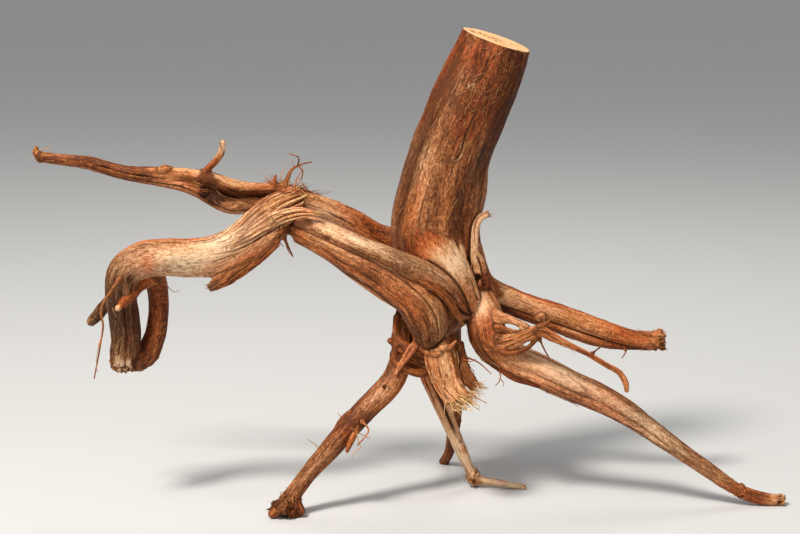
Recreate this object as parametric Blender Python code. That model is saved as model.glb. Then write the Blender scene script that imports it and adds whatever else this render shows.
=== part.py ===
"""A dry root: a sawn stump over a knot of crossing roots, standing on the tips of four of them.

The real thing grew as one piece of wood, so the model is one solid. Every root is a limb: a tube skinned
along a smooth curve, fluted and grooved along the grain, and all limbs are fused by one Boolean union.
Limbs are given in millimetres and built in metres. +X is to the right, -Y towards the viewer, +Z up, and
the root tips are cut flat where they stand on the floor at Z = 0.
"""

import math
from dataclasses import dataclass

import bmesh
import bpy
import numpy as np

MM = 0.001

# The size of the whole root, by the thickness of its stump at the saw cut.
STUMP_WIDTH_AT_CUT = 50.8
SIZE = STUMP_WIDTH_AT_CUT / 50.8

# Where the middle of the whole root's bounding box stands in the limbs' own millimetres.
MIDDLE_X = 8.1
MIDDLE_Y = 1.5

LUMP_SPAN = 21.0
LUMP_SEED = 11
TORN_DEPTH = 0.55
FLOOR_CUT_DEPTH = 40.0
SHORTEST_EDGE = 0.04
WOOD_COLOUR = (0.43, 0.24, 0.125, 1.0)
WOOD_ROUGHNESS = 0.78


@dataclass
class Limb:
    """One root or splinter. A station is (x, y, z, half width across the view, half depth along it).

    Angles run round a limb in degrees: 0 faces the viewer, 90 is to the left of its course.
    A flute is (count, depth as a share of the radius, phase, turns over the limb's length).
    A groove is (angle, half width, depth as a share, from, to, drift), from and to as shares of the length.
    A negative depth raises a ridge.
    """

    name: str
    stations: list
    sides: int
    step: float
    flutes: tuple = ()
    grooves: tuple = ()
    start: str = "flat"
    end: str = "point"
    lumps: float = 0.05


STUMP = Limb(
    "stump",
    [
        (71, -12, 344, 25.4, 24), (65, -10, 325, 27.7, 26), (54, -8, 295, 30.1, 28.5),
        (41, -4, 263, 31.8, 30.5), (33, -2, 233, 33.1, 31.5), (28, 0, 202, 33.6, 32),
        (30, 2, 175, 31.5, 31), (33, 3, 156, 27.1, 28), (33, 4, 139, 19.6, 22.7),
    ],
    sides=24, step=14.0,
    flutes=((3, 0.022, 40, 0.1), (7, 0.012, 10, 0.05)),
    grooves=((-62, 9, 0.075, 0.04, 0.86, 6), (40, 15, 0.13, 0.45, 1.0, 0), (128, 14, 0.09, 0.2, 1.0, 10),
             (-140, 16, 0.08, 0.1, 0.9, -12)),
    end="round", lumps=0.035,
)

CROWN = Limb(
    "crown",
    [(26, 4, 152, 24, 24), (20, 0, 130, 20, 20), (20, -4, 108, 11, 11)],
    sides=12, step=15.0, lumps=0.12,
)

FRONT_ARM = Limb(
    "front_arm",
    [
        (-83, -14, 208, 5.6, 6), (-60, -22, 197, 7.8, 8.5), (-33, -30, 184, 10.4, 11),
        (-6, -36, 170, 12.8, 13), (10.5, -41, 157, 14.8, 14.5), (18.5, -42, 145, 15.4, 15),
        (21, -41, 134, 13.6, 13.5), (21.5, -39, 127, 9.6, 11),
    ],
    sides=16, step=9.5,
    flutes=((5, 0.03, 0, 0.1),),
    grooves=((-34, 15, 0.13, -0.2, 0.62, 14), (38, 15, 0.12, 0.1, 0.75, 8)),
    end="round",
)

FRONT_ARM_TOP = Limb(
    "front_arm_top",
    [
        (-75, -18, 212, 5.9, 5.9), (-51, -26, 204, 6.2, 6.6), (-28, -35, 196, 6.5, 7.3),
        (-4, -42, 187, 7.2, 8.7), (18, -43, 176, 8.7, 9.4), (33, -37, 165, 9.5, 10.5),
        (44, -27, 152, 8.1, 10), (50, -18, 138, 4.2, 6.7),
    ],
    sides=9, step=12.0,
    flutes=((2, 0.05, 60, 0.2),),
)

FRONT_ARM_LOW = Limb(
    "front_arm_low",
    [
        (-77, -15, 199, 3.7, 4), (-57, -20, 191, 4.5, 5), (-40, -25, 179, 4.9, 6),
        (-25, -30, 169, 5.3, 7), (-6, -34, 156, 5.8, 7),
    ],
    sides=8, step=13.0,
)

BARK_CURTAIN = Limb(
    "bark_curtain",
    [(22, -50, 168, 2.6, 3), (34, -48, 158, 3.4, 3), (43, -40, 147, 3.4, 3), (50, -32, 134, 2.2, 2.4)],
    sides=5, step=11.0,
)

TORN_STUB = Limb(
    "torn_stub",
    [
        (27, -38, 127, 9.6, 9.6), (29.5, -40, 116, 11.6, 11.4), (32, -41, 107, 11.2, 11),
        (36, -43.5, 95, 9.9, 10), (42, -47, 85.5, 9, 9),
    ],
    sides=13, step=8.0,
    flutes=((5, 0.06, 20, 0.1),),
    grooves=((20, 16, 0.12, 0.3, 1.1, 8),),
    end="torn",
)

STUB_BARK = Limb(
    "stub_bark",
    [(42, -26, 122, 5, 6), (45, -32, 111, 5, 5.6), (50, -38, 101, 4.2, 4.8), (57, -43, 93, 3, 3.4)],
    sides=7, step=8.0, flutes=((3, 0.14, 0, 0.2),), end="torn",
)

HOOK = Limb(
    "hook",
    [
        (-75, -9, 224, 13.3, 4.4), (-86, -14, 218, 15.5, 7.4), (-100, -24, 208, 16.5, 10.3),
        (-115, -34, 197, 15.7, 10.9), (-133, -42, 190, 14.9, 11.6), (-152, -47, 189, 14.1, 11.6),
        (-169, -50, 190, 13, 11.5), (-185, -50, 188, 12.8, 10.8), (-198, -50, 180, 12, 10.8),
        (-202, -49, 165, 10.5, 10.1), (-201, -48, 147, 10.2, 9.4), (-200, -46, 128, 10, 9.5),
        (-202, -44, 115, 8.8, 8), (-203, -42, 108, 6.4, 6.4),
    ],
    sides=16, step=11.5,
    flutes=((4, 0.03, 20, 0.3),),
    grooves=((52, 13, 0.1, 0.62, 0.97, 0), (12, 13, 0.1, 0.68, 1.05, 0), (200, 18, 0.1, 0.2, 0.8, 0)),
    end="torn",
)

HOOK_RETURN = Limb(
    "hook_return",
    [
        (-202, -43, 116, 6.6, 6.6), (-194, -40, 110, 7.3, 6.6), (-185, -35, 114, 7, 6.6),
        (-179, -30, 124, 6.4, 6.6), (-177, -27, 138, 6.3, 6.6), (-177, -25, 154, 6.3, 6.6),
        (-178, -27, 167, 6.3, 6.6), (-180, -36, 180, 5.9, 6.6),
    ],
    sides=9, step=10.5, flutes=((3, 0.03, 30, 0.2),),
)

HOOK_FLAP = Limb(
    "hook_flap",
    [
        (-92, -27, 199, 5.1, 5), (-106, -37, 187, 6, 4), (-117, -44, 180, 5.8, 3.6),
        (-129, -49, 173, 4.9, 3.2), (-138, -51, 168, 2.8, 2.6),
    ],
    sides=8, step=10.0, flutes=((3, 0.12, 10, 0.2),), end="torn",
)

BACK_ARM = Limb(
    "back_arm",
    [
        (24, 12, 179, 12, 12), (9, 14, 185, 11.4, 10), (-1, 13, 189.5, 10.6, 8.6), (-17, 12, 197, 9.2, 8),
        (-34, 10, 208.5, 8.4, 7.8), (-53, 8, 217, 8.4, 8.3), (-71, 4, 224, 8.4, 9),
        (-89, 0, 228, 8.9, 8.9), (-108, -3, 227, 11.1, 8.9), (-125, -6, 228.5, 13, 8.9),
        (-139, -8, 235, 11.8, 8.1), (-155, -8, 240, 9, 7.8), (-174, -8, 243, 7.3, 7),
        (-192, -7, 244.5, 5.8, 6), (-211, -6, 248, 5.1, 5.3), (-229, -5, 253, 4.5, 4.7),
        (-248, -5, 255.5, 4.1, 4.1), (-261, -5, 257, 3.7, 3.7), (-268, -5, 258, 3.1, 3.1),
    ],
    sides=14, step=12.0,
    flutes=((3, 0.04, 0, 0.3),),
    grooves=((-4, 25, 0.5, 0.36, 0.66, 0),),
    end="torn",
)

RIGHT_ROOT = Limb(
    "right_root",
    [
        (38, 8, 172, 9, 10), (50, 7, 165, 7.6, 9), (60, 7, 159, 7.3, 8), (73, 8, 153, 7.4, 7.6),
        (99, 10, 143, 7.5, 7.8), (125, 12, 134, 7.8, 8.2), (151, 13, 125, 7.2, 8),
        (174, 14, 117, 6.7, 7.6), (189, 15, 114.5, 6.5, 7.2), (199, 15, 115, 7.1, 7.2),
    ],
    sides=12, step=13.5, flutes=((4, 0.035, 10, 0.2),), end="hollow",
)

RIGHT_ROOT_UNDER = Limb(
    "right_root_under",
    [
        (66, 8, 147, 3.4, 4), (80, 8, 141, 3.6, 4), (112, 10, 128.5, 4.1, 4.8), (131, 12, 121, 4.4, 5.3),
        (146, 13, 115.5, 4.3, 5.3), (164, 14, 111.5, 3.7, 4.6), (187, 15, 109.5, 2.4, 3.1),
    ],
    sides=6, step=14.0,
)

RIGHT_SHOULDER = Limb(
    "right_shoulder",
    [(57, -15, 195, 2.2, 2.4), (60, -10, 180, 3.5, 4.2), (65, -2, 165, 4.8, 5.2), (78, 6, 153, 5.3, 5.3)],
    sides=7, step=11.0,
)

UPRIGHT_TWIG = Limb(
    "upright_twig",
    [
        (51, -8, 148, 4.4, 5.2), (54, -18, 165, 4.6, 5), (55.5, -20.5, 179, 3.8, 4.4),
        (55, -20, 190, 2.9, 3.2), (55, -20, 198, 2.7, 2.9), (56, -20, 207, 2.8, 2.9),
        (59, -21, 214, 2.5, 2.6), (65, -22, 218, 2.1, 2.1),
    ],
    sides=7, step=7.5, flutes=((3, 0.07, 0, 0.3),), end="torn",
)

FRONT_LEG = Limb(
    "front_leg",
    [
        (46, 0, 168, 9, 9), (56, -8, 156, 10.6, 11), (62, -16, 144, 12.8, 13), (68, -24, 122, 14.1, 14.8),
        (81, -26, 111, 12.9, 13.6), (104, -28, 101, 11.9, 12.2), (126, -29, 90, 11.4, 11.5),
        (149, -30, 80, 10.7, 10.8), (171, -31, 68, 8.9, 9.7), (193, -32, 52, 7.5, 8.2),
        (216, -34, 36, 6.2, 7), (235, -35, 23, 5.5, 6), (248, -36, 14, 5, 5.2), (261, -37, 8, 5, 4.8),
        (275, -37, 3.6, 4, 4.1), (285, -37, 2.3, 2.9, 3),
    ],
    sides=14, step=13.5,
    flutes=((4, 0.03, 0, 0.2),),
    grooves=((-22, 14, 0.12, 0.22, 0.62, 16), (-62, 14, 0.1, 0.2, 0.5, 6)),
    end="torn",
)

FRONT_LEG_UNDER = Limb(
    "front_leg_under",
    [(74, -33, 104, 2.4, 2.4), (85, -34, 97, 2.6, 2.4), (94, -34, 93.5, 2, 1.8), (103, -34, 90, 1, 1)],
    sides=5, step=9.0,
)

FORK = Limb(
    "fork",
    [
        (64, -24, 119, 6, 6), (74, -34, 123, 6.8, 5.8), (83, -42, 127, 5.2, 4.8), (93, -46, 132, 4, 3.9),
        (102, -47, 135, 3.6, 3.6), (111, -48, 131, 3.3, 3.3), (121, -49, 126, 2.6, 2.8),
        (138, -51, 118, 2.1, 2.2), (150, -53, 111, 1.9, 2), (160, -54, 105, 2, 2), (164, -55, 98, 2, 2),
        (165, -55, 92, 1.5, 1.5),
    ],
    sides=7, step=8.0, flutes=((2, 0.1, 0, 0.8),),
)

LEFT_LEG = Limb(
    "left_leg",
    [
        (12, -4, 158, 6.6, 7.5), (2.5, -12, 138, 6.6, 8), (1.5, -18, 122, 7.2, 8.6),
        (1, -22, 111, 7.8, 9.2), (-3, -27, 98, 8.6, 9), (-26, -37, 73, 8.7, 8.6),
        (-48, -47, 50, 7.4, 7.6), (-71, -56, 25, 5.9, 6.2), (-80, -62, 13, 6.5, 6.6),
        (-84, -65, 4.6, 9, 8.4),
    ],
    sides=12, step=12.0,
    flutes=((4, 0.035, 20, 0.2),),
    grooves=((30, 14, 0.12, 0.1, 0.35, 20), (-20, 13, 0.1, 0.12, 0.34, 10)),
    end="torn",
)

LOW_KNOT = Limb(
    "low_knot",
    [(-2, -24, 119, 7.6, 7.4), (8, -25, 111, 9, 9), (18, -21, 107, 9, 9.6), (31, -13, 108, 8.4, 9.2)],
    sides=12, step=8.0, flutes=((3, 0.12, 0, 0.5), (5, 0.06, 30, 0.8)), lumps=0.12,
)

MIDDLE_LEG = Limb(
    "middle_leg",
    [
        (23, -4, 122, 7.5, 7.5), (19, -6, 103, 7.2, 7.4), (22, -4, 90, 6.4, 6.6), (29, 0, 73, 6, 6.2),
        (40, 4, 47, 5.3, 5.4), (49, 8, 25, 4.6, 4.7), (54, 10, 14, 4, 4.1), (57.5, 9, 8.2, 4.9, 4.8),
        (64, 8, 5.6, 3.2, 3.4), (71, 7, 4.8, 3, 3.1), (85, 5, 2.9, 2.8, 2.9), (96, 4, 1.4, 2.2, 2.3),
    ],
    sides=10, step=9.5,
    grooves=((14, 18, 0.2, 0.12, 0.5, 8),),
)

BACK_LEG = Limb(
    "back_leg",
    [
        (31, 14, 172, 15, 15), (34, 19, 146, 13.5, 13), (37, 21, 118, 10.4, 10.4), (40, 27, 88, 8, 8.2),
        (42.5, 37, 58, 6.2, 6.4), (42, 49, 34, 4.8, 5), (39, 63, 12, 3.6, 3.8), (35.5, 74, 1.2, 3.7, 3.8),
    ],
    sides=10, step=13.0, flutes=((3, 0.04, 0, 0.2),),
)

MAIN_LIMBS = [
    STUMP, CROWN, FRONT_ARM, FRONT_ARM_TOP, FRONT_ARM_LOW, BARK_CURTAIN, TORN_STUB, STUB_BARK, HOOK,
    HOOK_RETURN, HOOK_FLAP, BACK_ARM, RIGHT_ROOT, RIGHT_ROOT_UNDER, RIGHT_SHOULDER, UPRIGHT_TWIG,
    FRONT_LEG, FRONT_LEG_UNDER, FORK, LEFT_LEG, LOW_KNOT, MIDDLE_LEG, BACK_LEG,
]

# Short pieces by name, each a list of (x, y, z, radius). They stand out of the limbs.
SPLINTERS = {
    "fork_stub": [(98, -47, 134, 2.9), (103, -47, 139, 2.2), (108, -47, 143, 1.6)],
    "fork_bridge": [(67, -26, 141, 3.7), (80, -38, 142, 2.6), (87, -43, 139, 2.6), (94, -46, 132, 2.5)],
    "fork_lip": [(70, -38, 121, 1.4), (76, -42, 117.5, 1.9), (85, -43, 118, 1.9), (93, -45, 122, 1.6),
                 (100, -47, 129, 1.3)],
    "toe_left": [(-80, -64, 12, 3), (-88, -67, 7, 3.4), (-94, -69, 3, 3)],
    "toe_right": [(-76, -63, 12, 3), (-73, -65, 7, 3), (-71, -67, 4, 2.4)],
    "top_spur": [(-147, -9, 240, 3.6), (-141, -12, 250, 2.6), (-135, -13, 256, 2.5),
                 (-131, -14, 262, 2.5), (-130, -15, 270, 1.9)],
    "hook_front_spur": [(-181, -34, 170, 4.4), (-188, -47, 166, 3.3), (-195, -60, 161, 2.6),
                        (-202, -66, 156, 2.3)],
    "hook_left_spur": [(-201, -42, 166, 4.4), (-214, -36, 154, 4.4), (-223, -33, 143, 4.2),
                       (-228, -32, 138, 3.3)],
    "knot_spike": [(16, -32, 122, 2.8), (7, -36, 113, 2.6), (2, -37, 107, 2.3), (-4, -36, 99, 1.3)],
    "knot_fold_high": [(-5, -24, 127, 2.2), (3, -30, 121, 3), (12, -33, 116, 3), (22, -30, 114, 2.4)],
    "knot_fold_low": [(-4, -30, 108, 2.4), (7, -33, 102, 3), (18, -29, 99, 3), (27, -20, 102, 2.4)],
    "knot_peg": [(1, -26, 117, 3), (-8, -33, 125, 1.9)],
    "crossing_peg": [(-85, -20, 206, 3.2), (-88, -28, 205, 2.8)],
    "leg_burl": [(-30, -44, 66, 3.2), (-38, -53, 60, 2.8), (-42, -57, 50, 2)],
    "arm_bump": [(-169, -8, 245, 3.4), (-173, -11, 249, 3.2), (-177, -12, 248, 2.2)],
    "arm_tip_knob": [(-264, -5, 256, 3), (-269, -6, 262, 2), (-268, -6, 265, 1.4)],
    "right_bump": [(119, 6, 129, 3), (121, 0, 131, 2.8)],
}

ROOTLETS = {
    "hanging_rootlet": [(-196, -54, 181, 2.4), (-206, -65, 169, 1.3), (-214, -66, 154, 1.1),
                        (-213, -65, 143, 1), (-215, -64, 131, 0.9), (-221, -62, 103, 0.6)],
    "tuft_stalk": [(-88, -1, 230, 3), (-84, -2, 241, 2.2), (-80, -3, 248, 1.7), (-73, -4, 252, 0.9),
                   (-65, -5, 254, 0.6)],
    "tuft_twig_up": [(-76, -4, 250, 0.9), (-75, -5, 257, 0.8), (-82, -5, 260, 0.6)],
    "tuft_twig_down": [(-75, -4, 251, 0.9), (-72, -5, 247, 0.8), (-73, -5, 241, 0.6)],
    "tuft_shred": [(-92, -2, 231, 2.6), (-93, -3, 239, 1.4), (-92, -3, 243, 0.7)],
    "crossing_shred": [(-86, -16, 200, 2.2), (-83, -17, 193, 1.3), (-79, -18, 185, 0.7)],
    "fork_hair_low": [(101, -47, 132, 1.3), (104, -48, 124, 0.9), (109, -49, 115, 0.7)],
    "fork_hair_high": [(138, -51, 118, 1.2), (147, -52, 126, 0.9), (154, -52, 137, 0.7)],
    "stub_hair": [(46, -32, 113, 1.4), (57, -38, 110, 0.8), (67, -42, 102, 0.6)],
    "under_hair": [(168, 13, 113, 1.2), (172, 10, 107, 0.9), (169, 9, 102, 0.6)],
    "leg_hair": [(-29, -45, 68, 1.4), (-23, -53, 62, 0.9), (-31, -57, 52, 0.6)],
}

SPLINTER_SIDES = 5
SPLINTER_STEP = 8.0
ROOTLET_SIDES = 4
ROOTLET_STEP = 8.0

# The pale strands that fan out over the crossing and gather on the hook's upper side.
STRAND_COUNT = 8
STRANDS_BEGIN_AT_ANGLES = (-72, 66)
STRANDS_GATHER_AT_ANGLES = (-108, -22)
STRAND_REACH = 0.31
STRAND_RADIUS = 1.9

# The broomed fibres of the torn stub.
STRAW_COUNT = 24
STRAW_LENGTHS = (9, 18)
STRAW_RADIUS = 0.85
STRAW_SWEEP = (0.75, -0.25, 0.35)
STRAW_SEED = 5


def value_noise(points, seed):
    """Smooth noise from -1 to 1 at each of the points, with one lattice cell to a unit."""
    cell = np.floor(points).astype(np.int64)
    share = points - cell
    share = share * share * (3 - 2 * share)
    total = np.zeros(points.shape[:-1])
    for corner in np.ndindex(2, 2, 2):
        at = cell + np.array(corner)
        key = at[..., 0] * 73856093 ^ at[..., 1] * 19349663 ^ at[..., 2] * 83492791 ^ seed * 2654435761
        key = (key ^ (key >> 13)) * 1274126177 & 0xFFFFFF
        weight = np.prod(np.where(corner, share, 1 - share), axis=-1)
        total += weight * (key / 0x7FFFFF - 1)
    return total


def course_of(limb):
    """Rows a step apart along one smooth curve through the stations, and each row's share of its length."""
    rows = np.array(limb.stations, float)
    chord = np.linalg.norm(np.diff(rows[:, :3], axis=0), axis=1)
    knots = np.concatenate([[0], np.cumsum(chord)])
    slopes = np.gradient(rows, knots, axis=0)
    at = np.linspace(0, knots[-1], max(2, round(knots[-1] / limb.step)) + 1)
    left = np.clip(np.searchsorted(knots, at, side="right") - 1, 0, len(rows) - 2)
    span = (knots[left + 1] - knots[left])[:, None]
    u = (at - knots[left])[:, None] / span
    course = (
        rows[left] * (1 + 2 * u) * (1 - u) ** 2
        + rows[left + 1] * u * u * (3 - 2 * u)
        + slopes[left] * span * u * (1 - u) ** 2
        - slopes[left + 1] * span * u * u * (1 - u)
    )
    return course, at / knots[-1]


def directions_of(course):
    """Unit vectors at each row: along the limb, towards the viewer, and to the left of its course."""
    along = np.gradient(course[:, :3], axis=0)
    along /= np.linalg.norm(along, axis=1, keepdims=True)
    viewer = np.array([0.0, -1.0, 0.0])
    front = viewer - along * (along @ viewer)[:, None]
    front /= np.linalg.norm(front, axis=1, keepdims=True)
    return along, front, np.cross(front, along)


def window(share, low, high, ramp=0.08):
    """1 between low and high and 0 outside them, with soft ends."""
    rise = np.clip((share - low) / ramp + 0.5, 0, 1)
    fall = np.clip((high - share) / ramp + 0.5, 0, 1)
    return rise * fall


def relief_of(limb, angle, share):
    """What the radius is multiplied by, at each angle in degrees and share of the length."""
    relief = np.ones(np.broadcast(angle, share).shape)
    for count, depth, phase, turns in limb.flutes:
        relief += depth * np.cos(np.radians(count * (angle - phase - 360 * turns * share)))
    for middle, half_width, depth, low, high, drift in limb.grooves:
        off = (angle - middle - drift * share + 180) % 360 - 180
        relief -= depth * np.exp(-((off / half_width) ** 2)) * window(share, low, high)
    return relief


def skin_rings(limb):
    """The limb's skin as rings of points, from its first station to its last."""
    course, share = course_of(limb)
    _, front, left = directions_of(course)
    angle = np.arange(limb.sides) * 360 / limb.sides
    turn = np.radians(angle)[None, :, None]
    spokes = (
        front[:, None] * course[:, None, 4:5] * np.cos(turn)
        + left[:, None] * course[:, None, 3:4] * np.sin(turn)
    )
    points = course[:, None, :3] + spokes
    relief = relief_of(limb, angle[None, :], share[:, None])
    relief += limb.lumps * value_noise(points / LUMP_SPAN, LUMP_SEED)
    return course[:, None, :3] + spokes * relief[..., None]


def end_rings(rings, style, seed):
    """Rings that close a limb past its last ring, and the point they meet in."""
    last, middle = rings[-1], rings[-1].mean(axis=0)
    outward = middle - rings[-2].mean(axis=0)
    outward /= np.linalg.norm(outward)
    spokes = last - middle
    radius = np.linalg.norm(spokes, axis=1).mean()
    outward *= radius
    ragged = value_noise(last * 0.45, seed)[:, None] * outward * TORN_DEPTH
    if style == "flat":
        return [], middle
    if style == "point":
        return [], middle + outward * 0.7
    if style == "round":
        shoulder = middle + spokes * 0.82 + outward * 0.38
        brow = middle + spokes * 0.45 + outward * 0.62
        return [shoulder, brow], middle + outward * 0.7
    if style == "torn":
        rim = last + ragged + outward * 0.2
        inside = middle + spokes * 0.55 + ragged * 0.4 + outward * 0.1
        return [rim, inside], middle + outward * 0.15
    rim = middle + spokes * 1.08 + ragged * 0.6 + outward * 0.3
    wall = middle + spokes * 0.74 + ragged * 0.6 + outward * 0.25
    bottom = middle + spokes * 0.62 - outward * 0.7
    return [rim, wall, bottom], middle - outward * 0.8


def in_metres(points, shape):
    """New vertices of the shape at points given in the limbs' own millimetres."""
    middle = np.array([MIDDLE_X, MIDDLE_Y, 0])
    return [shape.verts.new((point - middle) * SIZE * MM) for point in points]


def limb_mesh(limb):
    """The limb as one closed mesh, in metres."""
    rings = skin_rings(limb)
    before, first_tip = end_rings(rings[::-1], limb.start, len(limb.name))
    after, last_tip = end_rings(rings, limb.end, len(limb.name) + 1)
    shape = bmesh.new()
    loops = [in_metres(ring, shape) for ring in (*before[::-1], *rings, *after)]
    tips = in_metres((first_tip, last_tip), shape)
    for k in range(limb.sides):
        beside = (k + 1) % limb.sides
        for one, two in zip(loops, loops[1:]):
            shape.faces.new((one[k], one[beside], two[beside], two[k]))
        shape.faces.new((loops[0][beside], loops[0][k], tips[0]))
        shape.faces.new((loops[-1][k], loops[-1][beside], tips[1]))
    bmesh.ops.recalc_face_normals(shape, faces=shape.faces)
    mesh = bpy.data.meshes.new(limb.name)
    shape.to_mesh(mesh)
    shape.free()
    return mesh


def short_limbs(pieces, sides, step):
    return [
        Limb(name, [(*station, station[-1]) for station in stations], sides, step)
        for name, stations in pieces.items()
    ]


def point_on(limb, share, angle, sink):
    """A point on the limb's skin at that share of its length and angle, sunk by so many millimetres."""
    course, shares = course_of(limb)
    _, front, left = directions_of(course)
    at = [np.interp(share, shares, column) for column in (*course.T, *front.T, *left.T)]
    half_width, half_depth = at[3:5]
    turn = math.radians(angle)
    spoke = np.array(at[5:8]) * half_depth * math.cos(turn) + np.array(at[8:11]) * half_width * math.sin(turn)
    length = np.linalg.norm(spoke)
    return np.array(at[:3]) + spoke * (length - sink) / length


def fan_strands():
    """Slim strands over the hook's front: spread out at the crossing, sinking in where they gather."""
    strands = []
    for k in range(STRAND_COUNT):
        across = k / (STRAND_COUNT - 1)
        begin = np.interp(across, (0, 1), STRANDS_BEGIN_AT_ANGLES)
        finish = np.interp(across, (0, 1), STRANDS_GATHER_AT_ANGLES)
        reach = STRAND_REACH - 0.04 * (k % 3)
        stations = []
        for along in np.linspace(0, 1, 5):
            swell = STRAND_RADIUS * (1 - 0.5 * along)
            sink = swell * (0.3 + 0.75 * along ** 2)
            point = point_on(HOOK, 0.015 + along * reach, begin + (finish - begin) * along, sink)
            stations.append((*point, swell, swell))
        strands.append(Limb(f"strand_{k}", stations, sides=5, step=9.5))
    return strands


def straw_fibres():
    """Stiff pale fibres that stand out of the torn stub's end and sweep to the right."""
    random = np.random.default_rng(STRAW_SEED)
    course, _ = course_of(TORN_STUB)
    along, front, left = (rows[-1] for rows in directions_of(course))
    end, radius = course[-1, :3], course[-1, 3]
    sweep = np.array(STRAW_SWEEP)
    fibres = []
    for k in range(STRAW_COUNT):
        turn = 2 * math.pi * k * 0.382
        side = front * math.cos(turn) + left * math.sin(turn)
        base = end + side * radius * 0.86 * math.sqrt((k + 0.5) / STRAW_COUNT)
        length = random.uniform(*STRAW_LENGTHS)
        lean = along + side * random.uniform(0.05, 0.5) + sweep * random.uniform(0.0, 0.6)
        lean /= np.linalg.norm(lean)
        bend = sweep * random.uniform(-0.2, 0.35)
        stations = []
        for reach, swell in ((-0.3, 1.3), (0.4, 1.1), (1.0, 0.8)):
            point = base + (lean * reach + bend * max(reach, 0) ** 2) * length
            stations.append((*point, STRAW_RADIUS * swell, STRAW_RADIUS * swell))
        fibres.append(Limb(f"straw_{k}", stations, sides=4, step=length, end="flat", lumps=0))
    return fibres


def all_limbs():
    splinters = short_limbs(SPLINTERS, SPLINTER_SIDES, SPLINTER_STEP)
    rootlets = short_limbs(ROOTLETS, ROOTLET_SIDES, ROOTLET_STEP)
    return [*MAIN_LIMBS, *splinters, *rootlets, *fan_strands(), *straw_fibres()]


def keep_modified_shape(body):
    """Gives the object the shape that its modifiers make, without the modifiers."""
    bpy.context.view_layer.update()
    shown = body.evaluated_get(bpy.context.evaluated_depsgraph_get())
    mesh = bpy.data.meshes.new_from_object(shown)
    body.modifiers.clear()
    body.data = mesh


def fused(limbs, name):
    """All limbs joined in one solid by a Boolean union on a collection."""
    helpers = bpy.data.collections.new("limbs_to_fuse")
    bpy.context.scene.collection.children.link(helpers)
    body = bpy.data.objects.new(name, limb_mesh(limbs[0]))
    bpy.context.scene.collection.objects.link(body)
    for limb in limbs[1:]:
        helpers.objects.link(bpy.data.objects.new(limb.name, limb_mesh(limb)))
    union = body.modifiers.new("fuse_limbs", "BOOLEAN")
    union.operation = "UNION"
    union.operand_type = "COLLECTION"
    union.collection = helpers
    union.solver = "MANIFOLD"
    keep_modified_shape(body)
    for helper in list(helpers.objects):
        bpy.data.objects.remove(helper)
    bpy.data.collections.remove(helpers)
    return body


def cut_flat_at_floor(body):
    """Trims what reaches below Z = 0, so that the root tips stand on flat spots."""
    shape = bmesh.new()
    bmesh.ops.create_cube(shape, size=1)
    bmesh.ops.scale(shape, vec=(2.0, 2.0, FLOOR_CUT_DEPTH * MM), verts=shape.verts)
    bmesh.ops.translate(shape, vec=(0, 0, -FLOOR_CUT_DEPTH * MM / 2), verts=shape.verts)
    mesh = bpy.data.meshes.new("floor_cutter")
    shape.to_mesh(mesh)
    shape.free()
    cutter = bpy.data.objects.new("floor_cutter", mesh)
    bpy.context.scene.collection.objects.link(cutter)
    cut = body.modifiers.new("flat_feet", "BOOLEAN")
    cut.operation = "DIFFERENCE"
    cut.object = cutter
    cut.solver = "MANIFOLD"
    keep_modified_shape(body)
    bpy.data.objects.remove(cutter)


def keep_outer_skin(body):
    """Drops slivers, loose scraps and the skins of sealed hollows: all but the largest connected skin."""
    shape = bmesh.new()
    shape.from_mesh(body.data)
    bmesh.ops.triangulate(shape, faces=shape.faces)
    bmesh.ops.dissolve_degenerate(shape, dist=SHORTEST_EDGE * MM, edges=shape.edges)
    bmesh.ops.triangulate(shape, faces=shape.faces)
    seen, skins = set(), []
    for face in shape.faces:
        if face in seen:
            continue
        skin, waiting = [], [face]
        seen.add(face)
        while waiting:
            current = waiting.pop()
            skin.append(current)
            beside = {other for edge in current.edges for other in edge.link_faces} - seen
            seen |= beside
            waiting.extend(beside)
        skins.append(skin)
    skins.sort(key=len)
    scraps = [face for skin in skins[:-1] for face in skin]
    bmesh.ops.delete(shape, geom=scraps, context="FACES")
    bmesh.ops.delete(shape, geom=[edge for edge in shape.edges if edge.is_wire], context="EDGES")
    shape.to_mesh(body.data)
    shape.free()


def dry_wood():
    material = bpy.data.materials.new("dry_wood")
    material.use_nodes = True
    shader = material.node_tree.nodes["Principled BSDF"]
    shader.inputs["Base Color"].default_value = WOOD_COLOUR
    shader.inputs["Roughness"].default_value = WOOD_ROUGHNESS
    shader.inputs["Metallic"].default_value = 0.0
    return material


def main():
    for old in list(bpy.data.objects):
        bpy.data.objects.remove(old)
    root = fused(all_limbs(), "dry_root")
    cut_flat_at_floor(root)
    keep_outer_skin(root)
    root.data.materials.clear()
    root.data.materials.append(dry_wood())
    root.data.shade_smooth()
    root.data.set_sharp_from_angle(angle=math.radians(40))


main()
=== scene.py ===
"""The looks of the dry root: its limbs again, with fine grain, cracks, bark and loose fibres.

Each limb is skinned along the same stations as the solid, in millimetres, but with a point every half
millimetre or so. Its skin flows into the limbs it meets, and then gets ridges, cracks, pits and bark along
its own grain. Loose fibres, hairs and straw are thin rods. +X is right, -Y is towards the viewer.
"""

import math
from dataclasses import dataclass, field

import bpy
import numpy as np
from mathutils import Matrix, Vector


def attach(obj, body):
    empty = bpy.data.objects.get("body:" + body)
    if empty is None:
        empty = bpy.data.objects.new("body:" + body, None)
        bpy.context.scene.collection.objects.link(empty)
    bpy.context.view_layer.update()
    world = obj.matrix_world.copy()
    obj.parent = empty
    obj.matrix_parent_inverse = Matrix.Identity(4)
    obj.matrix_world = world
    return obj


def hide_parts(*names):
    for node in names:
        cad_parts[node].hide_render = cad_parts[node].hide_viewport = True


MM = 0.001

# Where the middle of the solid's bounding box stands in the limbs' own millimetres.
MIDDLE = np.array([8.1, 1.5, 0.0])

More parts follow.
